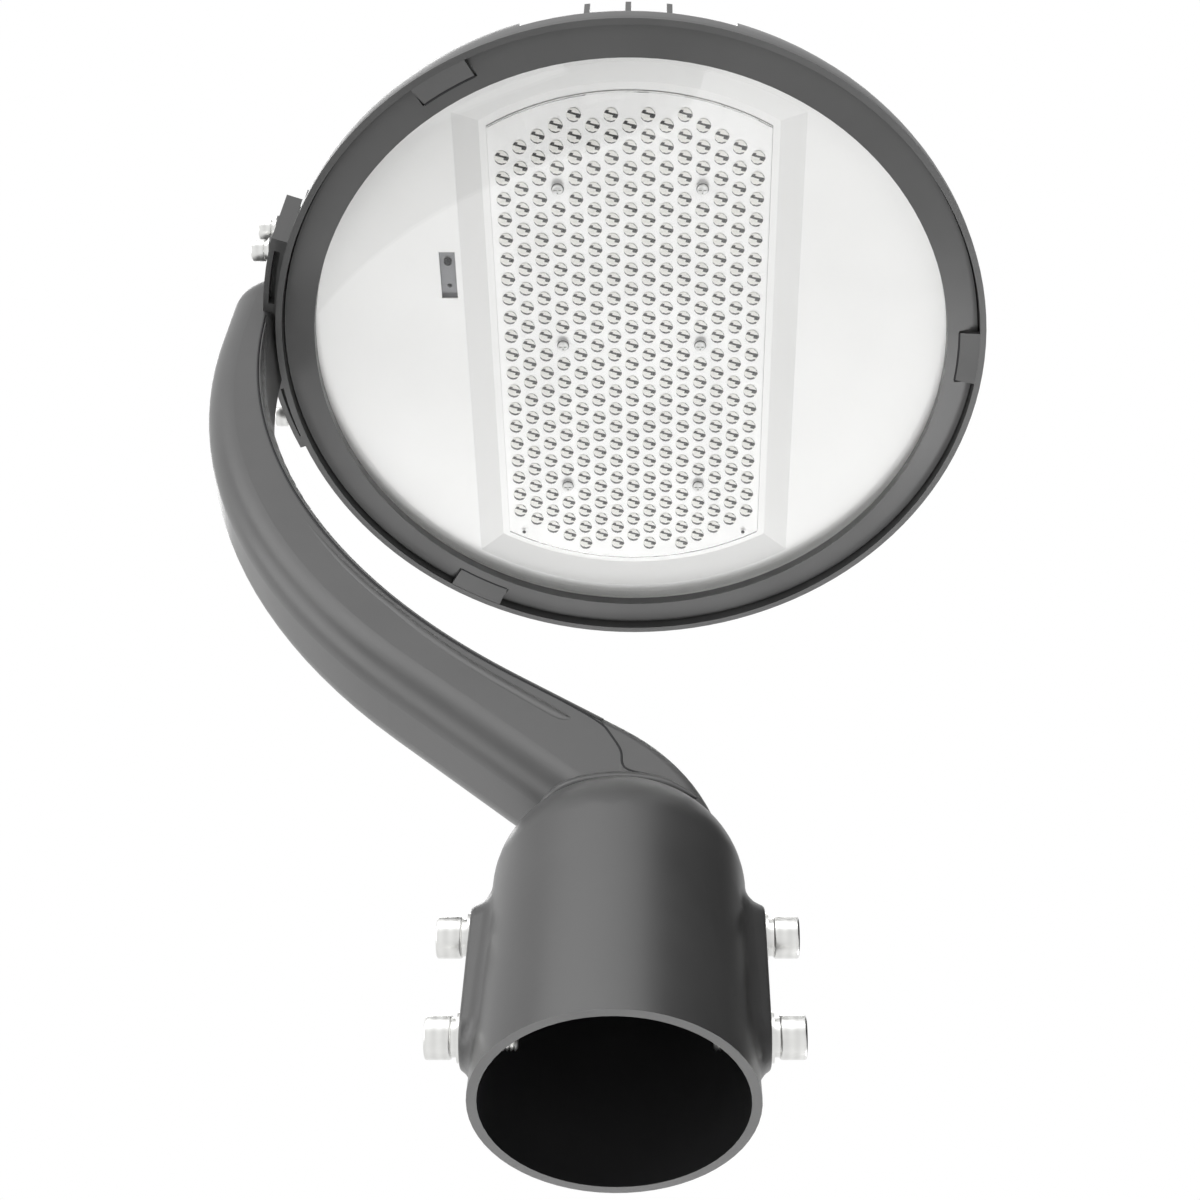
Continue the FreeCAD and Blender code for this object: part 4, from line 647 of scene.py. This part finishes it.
def cover_trim():
    """Seal and bead along the cover's edge, and the filled end of the seam below the heel."""
    seam = [(x * MM, z * MM) for x, z in HEEL_SEAM] + cover_edge(SEAM_START, SEAM_INSET)
    strip("cover_seam_seal", on_side(seam, SEAM_DEPTH), radius=0.5 * MM, material=black_rubber)
    filled = [(x * MM, z * MM) for x, z in FILLED_SEAM]
    strip("cover_seam_fill", on_side(filled, FILL_DEPTH), radius=1.4 * MM, material=head_coat, flat=0.25)
    bead = cover_edge(BEAD_START, BEAD_INSET)
    strip("cover_edge_bead", on_side(bead, BEAD_DEPTH), radius=0.55 * MM, material=head_coat)


def side_ridge():
    """Ridge on the arm's side: it hooks round at its foot and thins out towards the head."""
    level = ARM_SIDE - RIDGE_DEPTH
    ridge = [(x * MM, level, z * MM, width) for x, z, width in RIDGE_HOOK]
    for step in range(RIDGE_STEPS + 1):
        swing = min(1, step / RIDGE_SWING)
        inset = RIDGE_LOW_INSET + (RIDGE_HIGH_INSET - RIDGE_LOW_INSET) * swing
        x, z = arm_point(RIDGE_START + RIDGE_LENGTH * step / RIDGE_STEPS, inset)
        ridge.append((x, level, z, max(RIDGE_THIN, 1 - step / RIDGE_TAPER)))
    strip("arm_side_ridge", ridge, radius=2.6 * MM, material=head_coat, flat=0.35)


cover_trim()
side_ridge()


# Collar of the casting where the arm rises from the dome
DOME_LEVEL, DOME_HEIGHT, DOME_RADIUS = 80.5 * MM, 34.4 * MM, 40.5 * MM
COLLAR_CORNER, COLLAR_LEFT, COLLAR_RIGHT = 12 * MM, -25 * MM, 25 * MM
COLLAR_OUT, COLLAR_UP = 0.9 * MM, 1.6 * MM
COLLAR_END, COLLAR_TAPER = 0.15, 12 * MM
CORNER_STEPS, SIDE_STEPS = 6, 12


def dome_height(x, y):
    """Height of the dome above a place in plan."""
    share = max(0.0, 1 - (x * x + y * y) / DOME_RADIUS ** 2)
    return DOME_LEVEL + DOME_HEIGHT * math.sqrt(share)


def root_collar():
    """Bead on the dome from the middle of the arm's left end round its corner and along its side, where it
    thins out on the right."""
    start, side = COLLAR_LEFT + COLLAR_CORNER, ARM_SIDE - COLLAR_CORNER
    path = [(COLLAR_LEFT, 0.0)]
    for step in range(CORNER_STEPS + 1):
        angle = math.pi - 0.5 * math.pi * step / CORNER_STEPS
        path.append((start + COLLAR_CORNER * math.cos(angle), side + COLLAR_CORNER * math.sin(angle)))
    span = COLLAR_RIGHT - start
    path += [(start + span * step / SIDE_STEPS, ARM_SIDE) for step in range(1, SIDE_STEPS + 1)]
    points = []
    for x, y in path:
        width = min(1.0, COLLAR_END + (COLLAR_RIGHT - x) / COLLAR_TAPER)
        points.append((x, y + COLLAR_OUT, dome_height(x, y) + COLLAR_UP, width))
    strip("arm_root_collar", points, radius=2.6 * MM, material=head_coat)


root_collar()


# Black strips in the slits along the inner edges of the bezel's lugs, painted shade of the gaps there, with
# angles in degrees
SLIT_RADIUS, SLIT_LEVEL, SLIT_STEPS = 151.0 * MM, 411.6 * MM, 8
LEFT_LUG, LUG_REACH = 120, 4.8


def lug_shade_strip(name, start, end):
    """A dark strip of painted shade from one angle to another round the head's axis, and its mirror image."""
    points = []
    for step in range(SLIT_STEPS + 1):
        angle = math.radians(start + (end - start) * step / SLIT_STEPS)
        points.append((SLIT_RADIUS * math.cos(angle), SLIT_RADIUS * math.sin(angle), SLIT_LEVEL, 1.0))
    strip(name, points, radius=0.5 * MM, material=black_rubber)


lug_shade_strip("left_lug_shade_strips", LEFT_LUG - LUG_REACH, LEFT_LUG + LUG_REACH)
lug_shade_strip("right_lug_shade_strip", 0, LUG_REACH)


# Camera at the photograph's place: below the head, looking up
def photo_camera():
    data = bpy.data.cameras.new("photo_camera")
    data.lens = 56.13
    data.sensor_width = 36.0
    data.shift_x = -0.0493
    data.shift_y = -0.0498
    data.clip_start = 0.01
    item = bpy.data.objects.new("photo_camera", data)
    item.location = (0.01284, -0.4507, -0.3319)
    item.rotation_euler = (math.radians(143.176), 0, 0)
    bpy.context.scene.collection.objects.link(item)
    bpy.context.scene.camera = item


# Studio: white surroundings, a pale floor well below the light, soft lamps and one dark card
SKY_STRENGTH, FLOOR_GLOW = 0.14, 0.85
FLOOR_SIZE, FLOOR_LEVEL = 60.0, -0.62
CARD_SIZE, CARD_PLACE = 2.6, (1.0, -0.35, 0.75)


def seen_rays(owner):
    """The rays that show the background: straight from the camera, mirrored in gloss or through glass."""
    path = add_node(owner, "ShaderNodeLightPath")
    seen = add_node(owner, "ShaderNodeMath", {"operation": "MAXIMUM"},
                    {0: path.outputs["Is Camera Ray"], 1: path.outputs["Is Transmission Ray"]})
    shone = add_node(owner, "ShaderNodeMath", {"operation": "MAXIMUM"},
                     {0: seen.outputs[0], 1: path.outputs["Is Glossy Ray"]})
    return shone.outputs[0]


def surroundings():
    """A world that is seen as white and lights the object a little."""
    world = bpy.data.worlds.new("white_studio")
    bpy.context.scene.world = world
    world.use_nodes = True
    world.node_tree.nodes.clear()
    strength = add_node(world, "ShaderNodeMapRange", inputs={
        "Value": seen_rays(world), "To Min": SKY_STRENGTH, "To Max": 1.0})
    sky = add_node(world, "ShaderNodeBackground", inputs={
        "Color": linear("ffffff"), "Strength": strength.outputs["Result"]})
    add_node(world, "ShaderNodeOutputWorld", inputs={"Surface": sky.outputs["Background"]})


def floor_paint():
    """Pale painted floor that reads as white to the camera and still takes the light's shadow."""
    material = new_material("pale_studio_floor")
    paint = add_node(material, "ShaderNodeBsdfDiffuse", inputs={"Color": linear("f2f2f1")})
    glow = add_node(material, "ShaderNodeEmission", inputs={"Color": linear("ffffff"), "Strength": 1.0})
    share = add_node(material, "ShaderNodeMapRange", inputs={
        "Value": seen_rays(material), "To Min": 0.0, "To Max": FLOOR_GLOW})
    both = add_node(material, "ShaderNodeMixShader", inputs={
        0: share.outputs["Result"], 1: paint.outputs["BSDF"], 2: glow.outputs["Emission"]})
    add_node(material, "ShaderNodeOutputMaterial", inputs={"Surface": both.outputs["Shader"]})
    return material


def studio_floor():
    bpy.ops.mesh.primitive_plane_add(size=FLOOR_SIZE, location=(0, 0, FLOOR_LEVEL))
    floor = bpy.context.object
    floor.name = "floor"
    floor.data.materials.append(floor_paint())


def softbox(name, place, aim, size, power, mirrored=True, lit=True):
    """A soft lamp. Not mirrored, it shows in no gloss or glass, and not lit, it shows in gloss alone."""
    data = bpy.data.lights.new(name, "AREA")
    data.shape = "RECTANGLE"
    data.size, data.size_y = size
    data.energy = power
    item = bpy.data.objects.new(name, data)
    item.location = place
    item.rotation_euler = (Vector(aim) - Vector(place)).to_track_quat("-Z", "Y").to_euler()
    item.visible_glossy = mirrored
    item.visible_transmission = mirrored and lit
    item.visible_diffuse = lit
    bpy.context.scene.collection.objects.link(item)


def dark_flag():
    """Dark card on the right that shows in gloss alone and gives the round castings their dark edge."""
    bpy.ops.mesh.primitive_plane_add(size=CARD_SIZE, location=CARD_PLACE, rotation=(0, math.pi / 2, 0))
    card = bpy.context.object
    card.name = "dark_flag"
    card.data.materials.append(dark_card)
    card.visible_camera = False
    card.visible_transmission = False
    card.visible_diffuse = False
    card.visible_shadow = False


photo_camera()
surroundings()
studio_floor()
softbox("front_softbox", place=(-0.5, -1.5, 1.1), aim=(0, 0, 0.15), size=(2.6, 1.0), power=22)
softbox("left_softbox", place=(-1.6, -0.3, 0.2), aim=(-0.1, 0, 0.25), size=(0.8, 1.4), power=8)
softbox("top_softbox", place=(-0.2, 0.6, 1.6), aim=(0, 0, 0.3), size=(1.0, 1.0), power=12)
softbox("low_softbox", place=(0.0, 0.6, -0.5), aim=(0, 0, 0.42), size=(0.5, 0.5), power=9.9, mirrored=False)
softbox("gloss_softbox", place=(0.6, 0.6, -0.55), aim=(0.16, 0, 0.41), size=(0.4, 0.8), power=5, lit=False)
dark_flag()
bpy.context.scene.view_settings.view_transform = "Standard"
